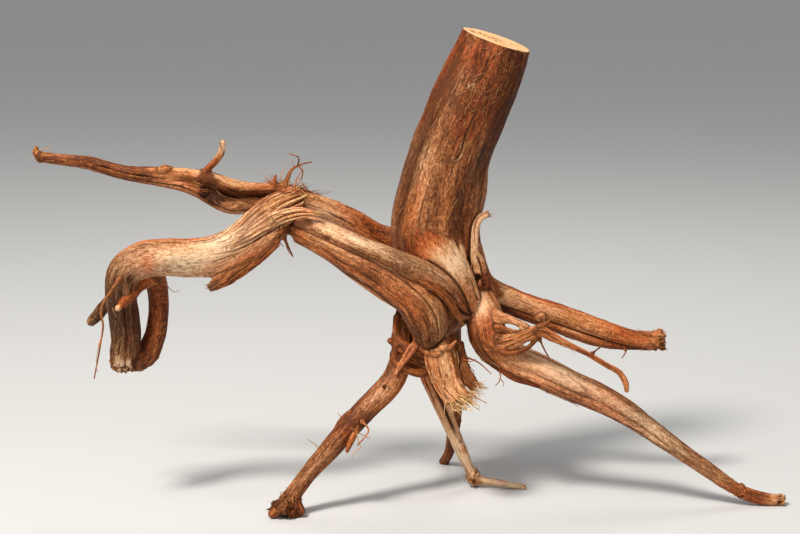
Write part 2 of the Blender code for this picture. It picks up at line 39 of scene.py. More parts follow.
LUMP_SPAN = 21.0
LUMP_SEED = 11

# Large odd numbers that scatter the cells of the noise's lattice, by axis, by seed and once more.
AXIS_FACTORS = (73856093, 19349663, 83492791)
SEED_FACTOR = 2654435761
SCATTER_FACTOR = 1274126177
KEY_RANGE = 0xFFFFFF

# The camera, set to show the root as the photograph does, in metres and degrees. The lens and sensor are in
# millimetres.
CAMERA_LENS = 80.0
CAMERA_SENSOR = 36.0
CAMERA_DISTANCE = 1.33333
CAMERA_ELEVATION = 10.0
CAMERA_TARGET = (-0.0081, -0.0015, 0.174108)

# Spacing of the points that measure how far a limb's skin is, and how far out they look.
FIELD_STEP = 1.6
FIELD_REACH = 12.0

# How a limb's end closes: a dome's height and a torn end's raggedness, as shares of the radius, and how far
# apart its rows are, in millimetres.
DOME_HEIGHT = 0.7
TORN_DEPTH = 0.55
END_SPACING = 1.0
FLAT_END_SPACING = 3.0

# How the skins are moved where limbs meet: rounds, and the largest lift as a share of the fuse. A skin sinks
# by COVER_SHARE of what it is covered by beyond the margin, up to the depth, in millimetres. CREASE_SHARE is
# the widest crease of painted shade along a seam, as a share of the slimmer limb's girth, and FAR a distance
# beyond every other limb.
SETTLE_ROUNDS = 4
LIFT_SHARE = 0.6
COVER_MARGIN = 0.5
COVER_DEPTH = 2.6
COVER_SHARE = 0.7
CREASE_SHARE = 0.22
FAR = 99.0

# The grain of each limb lies in a part of the noise of its own, and sways this wide over this span.
GRAIN_SHIFT = 61.7
SWAY_WIDTH = 1.7
SWAY_SPAN = 24

# A groove is dark if it has fewer degrees or more depth than this. Slimmer limbs than this get less relief.
NARROW_GROOVE = 12
DEEP_GROOVE = 0.15
FULL_RELIEF_GIRTH = 6

# A patch that reaches this many degrees either way goes all round its limb.
ALL_ROUND = 180

# Loose fibres: their seed, the points of each, the share that peels towards the limb's end, and the
# shortest that is made, in millimetres.
FIBRE_SEED = 7
FIBRE_POINTS = 5
PEEL_FORWARD = 0.7
SHORTEST_FIBRE = 1

# A brush's fibres root this many millimetres inside the broken end, over this share of its radius.
BRUSH_ROOT = 2.5
BRUSH_REACH = 0.93

# A rod's first corner is turned square to this direction, and its grain is moved on from the last rod's.
SQUARE_TO = (0.31, 0.17, 0.93)
ROD_GRAIN_SHIFT = 7.3

# Colours by tone, from dark to pale.
WOOD_TONES = [(0.0, (0.050, 0.012, 0.003)), (0.25, (0.18, 0.047, 0.010)), (0.5, (0.36, 0.118, 0.029)),
              (0.75, (0.60, 0.265, 0.094)), (1.0, (0.85, 0.54, 0.275))]
RED_TONES = [(0.0, (0.045, 0.008, 0.002)), (0.3, (0.19, 0.033, 0.006)), (0.65, (0.48, 0.098, 0.020)),
             (1.0, (0.76, 0.24, 0.085))]
BARK_TONES = [(0.0, (0.018, 0.005, 0.002)), (0.45, (0.095, 0.024, 0.006)), (1.0, (0.31, 0.100, 0.027))]
TORN_TONES = [(0.0, (0.08, 0.022, 0.006)), (0.5, (0.42, 0.18, 0.060)), (1.0, (0.82, 0.54, 0.27))]
SAWN_TONES = [(0.0, (0.66, 0.36, 0.16)), (0.5, (0.80, 0.48, 0.23)), (1.0, (0.90, 0.60, 0.33))]
FIBRE_TONES = [(0.0, (0.045, 0.012, 0.003)), (0.45, (0.30, 0.080, 0.019)), (0.7, (0.58, 0.26, 0.085)),
               (1.0, (0.88, 0.61, 0.31))]
GREY_TONES = [(0.0, (0.032, 0.016, 0.007)), (0.25, (0.14, 0.075, 0.032)), (0.5, (0.35, 0.21, 0.10)),
              (0.75, (0.62, 0.44, 0.26)), (1.0, (0.86, 0.71, 0.51))]
FLOOR_TONES = [(0.3, (0.60, 0.60, 0.59)), (0.7, (0.63, 0.63, 0.62))]
PORE_STEPS = [(0.60, (0.0, 0.0, 0.0)), (0.66, (1.0, 1.0, 1.0))]
PORE = (0.045, 0.014, 0.005)
# SHADE and the near-black colour after it are painted shade: cracks, creases, pits and hollows darken to
# them.
SHADE = (0.15, 0.046, 0.013)
DEEP_SHADE = (0.012, 0.004, 0.002)

# How strongly every material shines, and the height of its bumps in metres.
SPECULAR = 0.16
WOOD_BUMP = 0.0006
FINE_BUMP = 0.0002

# Each lamp's name, place, size, watts and colour. The sky lamp lights the whole floor evenly.
LIGHTS = [
    ("key", (-0.85, -1.05, 1.9), 0.45, 56, (1.0, 0.95, 0.88)),
    ("fill", (1.7, -1.4, 0.7), 1.4, 4, (1.0, 0.97, 0.93)),
    ("rim", (0.3, 0.9, 1.6), 0.8, 7, (1.0, 0.98, 0.95)),
]
LIGHTS_AIM_AT = (0, 0, 0.15)
SKY_STRENGTH = 1.1
SKY_SOFTNESS = 45
WORLD_COLOUR = (0.93, 0.95, 1.0, 1)
WORLD_STRENGTH = 0.16
FLOOR_RADIUS = 40.0
FLOOR_SIDES = 96


@dataclass
class Look:
    """How a limb's skin looks. Lengths are in millimetres; bark, pale, red, grey and worn are shares.

    A patch adds to what its keywords name: bark, pale, red, grey, worn, dark (painted shade), crumb or
    hollow. The last two are in millimetres.
    A split is a long crack, darkened with painted shade: (share, angle, to share, to angle, half width,
    depth).
    A fan is ridges that draw together: (to share, angles at the start, angles at its end, count, depth).
    """

    across: float = 0.5
    along: float = 1.25
    strands: float = 0.4
    strand_width: float = 5.5
    fibres: float = 0.2
    cracks: float = 0.5
    pits: float = 0.5
    bark: float = 0.0
    pale: float = 0.5
    red: float = 0.2
    grey: float = 0.0
    worn: float = 0.2
    fuse: float = 4
    patches: list = field(default_factory=list)
    splits: list = field(default_factory=list)
    fans: list = field(default_factory=list)


def at(share, angle, reach, degrees, **strengths):
    """A patch at that share of the length and that angle. It fades over its reach along and degrees round."""
    return share, angle, reach, degrees, strengths


def ring(share, reach, **strengths):
    """A patch that goes all round the limb."""
    return at(share, 0, reach, ALL_ROUND, **strengths)


@dataclass
class Limb:
    """One root or splinter. A station is (x, y, z, half width across the view, half depth along it).

    Angles run round a limb in degrees: 0 faces the viewer, 90 is to the left of its course.
    A flute is (count, depth as a share of the radius, phase, turns over the limb's length).
    A groove is (angle, half width, depth as a share, from, to, drift), from and to as shares of the length.
    """

    name: str
    stations: list
    flutes: list = field(default_factory=list)
    grooves: list = field(default_factory=list)
    start: str = "flat"
    end: str = "point"
    lumps: float = 0.05


@dataclass
class Fray:
    """Loose fibres along a limb: how many, where they root, how long they are and how far their tips lift.

    Tones run from 0, dark bark, over 0.5, reddish, to 1, pale straw.
    """

    limb: str
    count: int
    shares: tuple
    angles: tuple
    lengths: tuple
    lift: float
    curl: float
    radius: float
    tones: tuple


@dataclass
class Brush:
    """Fibres that stand out of a limb's broken end: their lengths, how they spread and what they bend to."""

    limb: str
    count: int
    lengths: tuple
    spread: float
    sweep: tuple
    radius: float
    tones: tuple
    from_start: bool = False


LIMBS = [
    Limb("stump", [
        (70.5, -12, 344, 25.8, 24), (64, -10, 325, 27.9, 26), (50.8, -8, 295, 29.3, 28.5),
        (39, -4, 263, 29.6, 30.2), (31.2, -2, 233, 32, 31.2), (26.2, 0, 202, 32.2, 32),
        (30, 2, 175, 31.5, 31), (33, 3, 156, 27.1, 28), (33, 4, 139, 19.6, 22.7),
    ], flutes=[(3, 0.022, 40, 0.1), (7, 0.012, 10, 0.05)], start="sawn", end="round", lumps=0.035, grooves=[
        (-62, 9, 0.075, 0.04, 0.86, 6), (40, 15, 0.13, 0.45, 1.0, 0), (128, 14, 0.09, 0.2, 1.0, 10),
        (-140, 16, 0.08, 0.1, 0.9, -12),
    ]),
    Limb("crown", [
        (26, 4, 152, 24, 24), (20, 0, 130, 20, 20), (20, -4, 108, 11, 11),
    ], lumps=0.12),
    Limb("flare", [
        (18, -13, 207, 15, 16), (24, -17, 195, 17, 17.5), (32, -19, 182, 16.5, 18), (41, -19, 168, 14, 17.5),
        (49, -18, 153, 11, 14), (54, -16, 142, 8, 10),
    ], flutes=[(4, 0.03, 0, 0.2)], end="round"),
    Limb("front_arm", [
        (-83, -14, 208, 5.6, 6), (-60, -22, 197, 7.8, 8.5), (-33, -30, 184, 10.4, 11),
        (-6, -36, 170, 12.8, 13), (10.5, -41, 157, 14.8, 14.5), (18.5, -42, 145, 15.4, 15),
        (21, -41, 134, 13.6, 13.5), (21.5, -39, 127, 9.6, 11),
    ], flutes=[(5, 0.03, 0, 0.1)], end="round", grooves=[
        (-34, 15, 0.13, -0.2, 0.62, 14), (38, 15, 0.12, 0.1, 0.75, 8),
    ]),
    Limb("front_arm_top", [
        (-75, -18, 212, 6.1, 5.9), (-51, -26, 204, 6.7, 6.6), (-28, -35, 196, 6.5, 7.3),
        (-4, -42, 187, 7.2, 8.7), (18, -42, 176.5, 8.2, 9.4), (32, -37, 167, 7.4, 9.6),
        (42, -31, 157, 5.2, 7.6), (50, -25, 146, 2.6, 4.5),
    ], flutes=[(2, 0.05, 60, 0.2)]),
    Limb("front_arm_low", [
        (-77, -15, 199, 3.7, 4), (-57, -20, 191, 4.5, 5), (-40, -25, 179, 4.9, 6), (-25, -30, 169, 5.2, 7),
        (-8, -34, 157.5, 4.8, 7), (8, -37, 148, 3, 5),
    ]),
    Limb("bark_curtain", [
        (9, -47, 177, 0.8, 1.2), (18, -49, 171, 2, 2.4), (30, -47, 163, 2.8, 2.8), (40, -41, 149.5, 2.4, 2.6),
        (46.5, -34.5, 137, 0.8, 1),
    ], start="point"),
    Limb("torn_stub", [
        (27, -38, 127, 9.6, 9.6), (29.5, -40, 116, 11.6, 11.4), (32, -41, 107, 11.2, 11),
        (36, -43.5, 95, 9.9, 10), (42, -47, 85.5, 9, 9),
    ], flutes=[(5, 0.06, 20, 0.1)], end="torn", grooves=[(20, 16, 0.12, 0.3, 1.1, 8)]),
    Limb("stub_bark", [
        (42, -26, 122, 5, 6), (44, -32, 111, 5.4, 5.8), (48, -38, 101, 5, 5.2), (54.5, -43, 93, 3.8, 4),
    ], flutes=[(3, 0.14, 0, 0.2)], end="torn"),
    Limb("hook", [
        (-75, -9, 224, 13.3, 4.4), (-86, -14, 218, 15.5, 7.4), (-100, -24, 208, 16.5, 10.3),
        (-115, -34, 197, 15.7, 10.9), (-133, -42, 190, 14.9, 11.6), (-152, -47, 189, 14.1, 11.6),
        (-169, -50, 190, 13, 11.5), (-185, -50, 188, 12.8, 10.8), (-198, -50, 180, 12, 10.8),
        (-202, -49, 165, 11, 10.1), (-200.5, -48, 147, 10.9, 9.4), (-199.5, -46, 128, 10.6, 9.5),
        (-202, -44, 115, 10, 8.6), (-202.5, -42, 108.5, 9, 7.6),
    ], flutes=[(4, 0.03, 20, 0.3)], start="torn", end="torn", grooves=[
        (52, 13, 0.1, 0.62, 0.97, 0), (12, 13, 0.1, 0.68, 1.05, 0), (200, 18, 0.1, 0.2, 0.8, 0),
    ]),
    Limb("hook_return", [
        (-203, -43, 115, 7, 7), (-196, -40, 113, 9.6, 8), (-187.5, -35, 115.5, 9.2, 7.4),
        (-181.5, -30, 126, 8, 6.8), (-178.8, -27, 139, 7.6, 6.6), (-178, -25, 154, 7.6, 6.6),
        (-179, -27, 167, 8, 7), (-182, -36, 180, 8, 7.4),
    ], flutes=[(3, 0.03, 30, 0.2)]),
    Limb("hook_flap", [
        (-92, -27, 199, 5.1, 5), (-106, -37, 187, 6, 4), (-117, -44, 180, 5.8, 3.6),
        (-129, -49, 173, 4.9, 3.2), (-138, -51, 168, 2.8, 2.6),
    ], flutes=[(3, 0.12, 10, 0.2)], end="torn"),
    Limb("fan_flap", [
        (-62, -30.5, 219, 1.2, 0.8), (-68, -30.5, 219.5, 3, 1.3), (-78, -29, 218.5, 4.4, 1.9),
        (-90, -27.5, 215, 4.8, 2.6), (-100.5, -29.5, 209.5, 4.6, 3), (-110, -34, 203.5, 4, 2.8),
        (-117, -37.5, 199, 3, 2),
    ], start="point"),
    Limb("back_arm", [
        (24, 12, 179, 12, 12), (9, 14, 185, 11.4, 10), (-1, 13, 189.5, 10.6, 8.6), (-17, 12, 195.5, 9.2, 8),
        (-34, 10, 207, 8.4, 7.8), (-53, 8, 215.5, 8.4, 8.3), (-71, 4, 223, 8.4, 9), (-89, 0, 228, 8.9, 8.9),
        (-108, -3, 227, 11.1, 8.9), (-125, -6, 228.5, 13, 8.9), (-139, -8, 235, 11.8, 8.1),
        (-155, -8, 240, 9, 7.8), (-174, -8, 243, 7.3, 7), (-192, -7, 244.5, 5.8, 6),
        (-211, -6, 248, 5.1, 5.3), (-229, -5, 253, 4.5, 4.7), (-248, -5, 255.5, 4.1, 4.1),
        (-261, -5, 257, 3.7, 3.7), (-268, -5, 258, 3.1, 3.1),
    ], flutes=[(3, 0.04, 0, 0.3)], end="torn", grooves=[(-12, 22, 0.4, 0.36, 0.66, 0)]),
    Limb("right_root", [
        (38, 8, 172, 9, 10), (50, 7, 165, 7.6, 9), (60, 7, 159, 7.3, 8), (73, 8, 153, 7.4, 7.6),
        (99, 10, 143, 7.5, 7.8), (125, 12, 134, 7.8, 8.2), (151, 13, 125, 7.2, 8), (174, 14, 117, 6.7, 7.6),
        (189, 15, 114.5, 6.5, 7.2), (199, 15, 115, 7.1, 7.2),
    ], flutes=[(4, 0.035, 10, 0.2)], end="hollow"),
    Limb("right_root_under", [
        (66, 8, 147, 3.4, 4), (80, 8, 141, 3.6, 4), (112, 10, 128.5, 4.1, 4.8), (131, 12, 121, 4.4, 5.3),
        (146, 13, 115.5, 4.3, 5.3), (164, 14, 111.5, 3.7, 4.6), (187, 15, 109.5, 2.4, 3.1),
    ]),
    Limb("right_shoulder", [
        (57, -15, 195, 2.2, 2.4), (60, -10, 180, 3.5, 4.2), (65, -2, 165, 4.6, 5.2), (73, 5, 155, 4.4, 5),
        (84, 9, 149, 3, 3),
    ]),
    Limb("upright_twig", [
        (56, -8, 150, 7, 7), (58.5, -14, 166, 7.6, 7), (58, -18, 179, 5.8, 5.4), (55, -20, 190, 2.9, 3.2),
        (55, -20, 198, 2.7, 2.9), (56, -20, 207, 2.8, 2.9), (59, -21, 214, 2.5, 2.6),
        (65, -22, 218, 2.1, 2.1),
    ], flutes=[(3, 0.07, 0, 0.3)], end="torn"),
    Limb("front_leg", [
        (46, 0, 168, 9, 9), (56, -8, 156, 10.6, 11), (62, -16, 144, 12.8, 13), (68, -24, 122, 14.1, 14.8),
        (81, -26, 111, 12.9, 13.6), (104, -28, 101, 11.9, 12.2), (126, -29, 90, 11.4, 11.5),
        (149, -30, 80, 10.7, 10.8), (171, -31, 68, 8.9, 9.7), (193, -32, 52, 7.5, 8.2),
        (216, -34, 36, 6.2, 7), (235, -35, 23, 5.5, 6), (248, -36, 14, 5, 5.2), (261, -37, 8, 5, 4.8),
        (275, -37, 4.8, 4.6, 4.4), (285, -37, 4.1, 3.9, 3.8),
    ], flutes=[(4, 0.03, 0, 0.2)], end="torn", grooves=[
        (-22, 14, 0.12, 0.22, 0.62, 16), (-62, 14, 0.1, 0.2, 0.5, 6),
    ]),
    Limb("front_leg_under", [
        (74, -33, 104, 2.4, 2.4), (85, -34, 97, 2.6, 2.4), (94, -34, 93.5, 2, 1.8), (103, -34, 90, 1, 1),
    ]),
    Limb("fork", [
        (64, -24, 119, 6, 6), (74, -34, 123, 6.8, 5.8), (83, -42, 127, 5.2, 4.8), (93, -46, 132, 4, 3.9),
        (102, -47, 135, 3.6, 3.6), (111, -48, 131, 3.3, 3.3), (121, -49, 126, 2.6, 2.8),
        (138, -51, 118, 2.1, 2.2), (150, -53, 111, 1.9, 2), (160, -54, 105, 2, 2), (164, -55, 98, 2, 2),
        (165, -55, 92, 1.5, 1.5),
    ], flutes=[(2, 0.1, 0, 0.8)]),
    Limb("left_leg", [
        (12, -4, 158, 6.6, 7.5), (2.5, -12, 138, 6.6, 8), (1.5, -18, 122, 7.2, 8.6), (1, -22, 111, 7.8, 9.2),
        (-3, -27, 98, 8.6, 9), (-26, -37, 73, 8.7, 8.6), (-48, -47, 50, 7.4, 7.6), (-71, -56, 25, 5.9, 6.2),
        (-80, -62, 13, 6.5, 6.6), (-84, -65, 4.6, 9, 8.4),
    ], flutes=[(4, 0.035, 20, 0.2)], end="torn", grooves=[
        (30, 14, 0.12, 0.1, 0.35, 20), (-20, 13, 0.1, 0.12, 0.34, 10),
    ]),
    Limb("low_knot", [
        (-2, -24, 119, 7.6, 7.4), (8, -25, 111, 9, 9), (18, -21, 107, 9, 9.6), (31, -13, 108, 8.4, 9.2),
    ], flutes=[(3, 0.12, 0, 0.5), (5, 0.06, 30, 0.8)], lumps=0.12),
    Limb("middle_leg", [
        (23, -4, 122, 7.5, 7.5), (19, -6, 103, 7.2, 7.4), (22, -4, 90, 6.4, 6.6), (29, 0, 73, 6, 6.2),
        (40, 4, 47, 5.3, 5.4), (49, 8, 25, 4.6, 4.7), (54, 10, 14, 4, 4.1), (57.5, 9, 8.2, 4.9, 4.8),
        (64, 8, 5.6, 3.2, 3.4), (71, 7, 4.8, 3, 3.1), (85, 5, 2.9, 2.8, 2.9), (96, 4, 1.4, 2.2, 2.3),
    ], grooves=[(14, 18, 0.2, 0.12, 0.5, 8)]),
    Limb("back_leg", [
        (31, 14, 172, 15, 15), (34, 19, 146, 13.5, 13), (37, 21, 118, 10.4, 10.4), (40, 27, 88, 8, 8.2),
        (42.5, 37, 58, 6.2, 6.4), (42, 49, 34, 4.8, 5), (39, 63, 12, 3.6, 3.8), (35.5, 74, 1.2, 3.7, 3.8),
    ], flutes=[(3, 0.04, 0, 0.2)]),
]

# Short pieces by name, each a list of (x, y, z, radius). They stand out of the limbs.
SPLINTERS = {
    "fork_stub": [(98, -47, 134, 2.9), (103, -47, 138.5, 2), (109, -47, 142.5, 1)],
    "fork_bridge": [(62, -18, 142, 7), (72, -29.5, 141.5, 5), (80, -38, 142, 3.3), (86.7, -43, 140, 2.6),
        (92.5, -45, 137.5, 2.6)],
    "fork_fold_high": [(65, -26, 134, 4.5), (74, -36.5, 134.5, 2.6), (83, -42.5, 133.5, 1.8),
        (91, -46, 133.5, 1.4)],
    "fork_fold_low": [(66, -32, 127, 3.6), (75, -39, 127.5, 2.2), (85, -44, 129.5, 1.6),
        (94, -47, 131.5, 1.3)],
    "fork_lip": [(70, -38, 121, 1.4), (76, -42, 117.5, 1.9), (85, -43, 118, 1.9), (93, -45, 122, 1.6),
        (100, -47, 129, 1.3)],
    "toe_left": [(-80, -64, 12, 3), (-88, -67, 7, 3.4), (-94, -69, 3, 3)],
    "toe_right": [(-76, -63, 12, 3), (-73, -65, 7, 3), (-71, -67, 4, 2.4)],
    "top_spur": [(-147, -3, 240, 3.6), (-141, -12, 250, 2.6), (-135, -13, 256, 2.5), (-131, -14, 262, 2.5),
        (-130, -15, 270, 1.9)],
    "hook_front_spur": [(-182, -34, 173, 6.4), (-189, -44, 167.5, 4), (-195, -54, 162, 2.8),
        (-199.5, -61, 158, 2.4), (-202.5, -65, 155, 2.1)],
    "hook_left_spur": [(-201, -42, 166, 4.4), (-214, -36, 154, 4.4), (-223, -33, 143, 4.2),
        (-228, -32, 138, 3.3)],
    "knot_spike": [(14, -32, 123.5, 3.2), (9.5, -36, 120.5, 3.3), (5, -37.5, 114.5, 2.8),
        (0.7, -37.5, 108, 2), (-3, -37, 100.5, 1)],
    "knot_fold_high": [(-5, -24, 127, 2.2), (3, -30, 121, 3), (12, -33, 116, 3), (22, -30, 114, 2.4)],
    "knot_fold_low": [(-4, -30, 108, 2.4), (7, -33, 102, 3), (18, -29, 99, 3), (27, -20, 102, 2.4)],
    "knot_fold_left": [(-2, -16, 140, 2.4), (-3, -22.5, 131, 2.6), (-2.5, -27, 121, 2.6),
        (-5, -31, 110, 1.8)],
    "knot_fold_right": [(10, -32, 131, 2), (13, -34.5, 124, 2.6), (18, -31.5, 115.5, 2.4),
        (25, -25, 110, 1.8)],
    "leg_peg": [(-36, -42, 73.5, 1.6), (-40.2, -44, 69.4, 2.8), (-44.8, -46.5, 64.2, 2.4),
        (-49.3, -48, 58.8, 1)],
    "knot_peg": [(0, -27, 118, 3), (-8, -32, 125, 2.2)],
    "crossing_peg": [(-85, -20, 206, 3.2), (-88, -28, 205, 2.8)],
    "leg_burl": [(-31, -46, 64, 2.4), (-34.5, -50, 55.5, 2.3), (-39, -53, 46, 1.4)],
    "arm_bump": [(-169, -8, 245, 3.4), (-173, -11, 249, 3.2), (-177, -12, 248, 2.2)],
    "arm_tip_knob": [(-264, -5, 256, 3), (-269, -6, 262, 2), (-268, -6, 265, 1.4)],
    "right_bump": [(106, 6, 134, 3.4), (107, 2.6, 136.5, 2.4)],
    "stub_lip": [(15, -41, 121, 1.2), (20, -45.5, 119, 2), (26, -48.5, 118, 2.3), (34, -47.5, 121, 2.2),
        (41, -43, 126.5, 1.2)],
}

# Slim rootlets, in the same way.
ROOTLETS = {
    "hanging_rootlet": [(-196, -54, 181, 2.4), (-206, -65, 169, 1.3), (-214, -66, 154, 1.1),
        (-213, -65, 143, 1), (-215, -64, 131, 0.9), (-221, -62, 103, 0.6)],
    "tuft_stalk": [(-88, -1, 230, 4.6), (-84, -2, 240, 3), (-80, -3, 248, 1.7), (-73, -4, 252, 0.9),
        (-65, -5, 254, 0.6)],
    "tuft_twig_up": [(-76, -4, 250, 0.9), (-75, -5, 257, 0.8), (-82, -5, 260, 0.6)],
    "tuft_twig_down": [(-75, -4, 251, 0.9), (-72, -5, 247, 0.8), (-73, -5, 241, 0.6)],
    "tuft_shred": [(-92, -2, 230, 5.4), (-93.5, -3, 238, 3.2), (-92, -3, 244, 1)],
    "crossing_shred": [(-86, -16, 200, 2.2), (-83, -17, 193, 1.3), (-79, -18, 185, 0.7)],
    "fork_hair_low": [(101, -47, 132, 1.3), (104, -48, 124, 0.9), (109, -49, 115, 0.7)],
    "fork_hair_high": [(138, -51, 118, 1.2), (147, -52, 126, 0.9), (154, -52, 137, 0.7)],
    "stub_hair": [(46, -32, 113, 1.4), (57, -38, 110, 0.8), (67, -42, 102, 0.6)],
    "under_hair": [(168, 13, 113, 1.2), (172, 10, 107, 0.9), (169, 9, 102, 0.6)],
    "leg_hair": [(-29, -45, 68, 1.4), (-23, -53, 62, 0.9), (-31, -57, 52, 0.6)],
}

# How wide, in millimetres, the skins of two limbs flow into each other where that isn't the smaller fuse.
FUSE_OF_PAIRS = {
    ("front_arm", "front_arm_top"): 5.0, ("front_arm", "torn_stub"): 0.5, ("front_arm", "front_arm_low"): 3.5,
    ("upright_twig", "flare"): 1.0, ("upright_twig", "stump"): 1.5, ("right_shoulder", "flare"): 1.5,
    ("right_shoulder", "upright_twig"): 5.0, ("right_shoulder", "right_root"): 9.0,
    ("fork_bridge", "front_leg"): 8.0, ("fork_bridge", "fork"): 4.0, ("fan_flap", "hook"): 5.0,
    ("fan_flap", "front_arm"): 0.8, ("fan_flap", "front_arm_top"): 0.8, ("fan_flap", "back_arm"): 1.0,
    ("leg_peg", "left_leg"): 3.0, ("fork_fold_high", "fork"): 1.5, ("fork_fold_low", "fork"): 1.5,
    ("stub_lip", "front_arm"): 0.6, ("stub_lip", "torn_stub"): 3.0, ("bark_curtain", "front_arm"): 0.8,
    ("leg_burl", "left_leg"): 2.0, ("right_root", "right_root_under"): 1.4, ("hook", "hook_flap"): 6.0,
    ("hook", "back_arm"): 3.0, ("hook", "front_arm"): 1.5, ("hook", "front_arm_top"): 1.5,
    ("stub_bark", "torn_stub"): 1.0, ("front_arm", "stump"): 1.5, ("hook", "hook_return"): 3.0,
    ("bark_curtain", "front_arm_top"): 3.0, ("front_leg", "front_leg_under"): 1.0, ("front_leg", "fork"): 4.0,
    ("back_arm", "front_arm_top"): 3.0, ("front_arm_top", "flare"): 2.0, ("front_arm_top", "stump"): 3.0,
    ("flare", "stump"): 12.0, ("flare", "front_leg"): 4.0, ("flare", "crown"): 8.0,
}

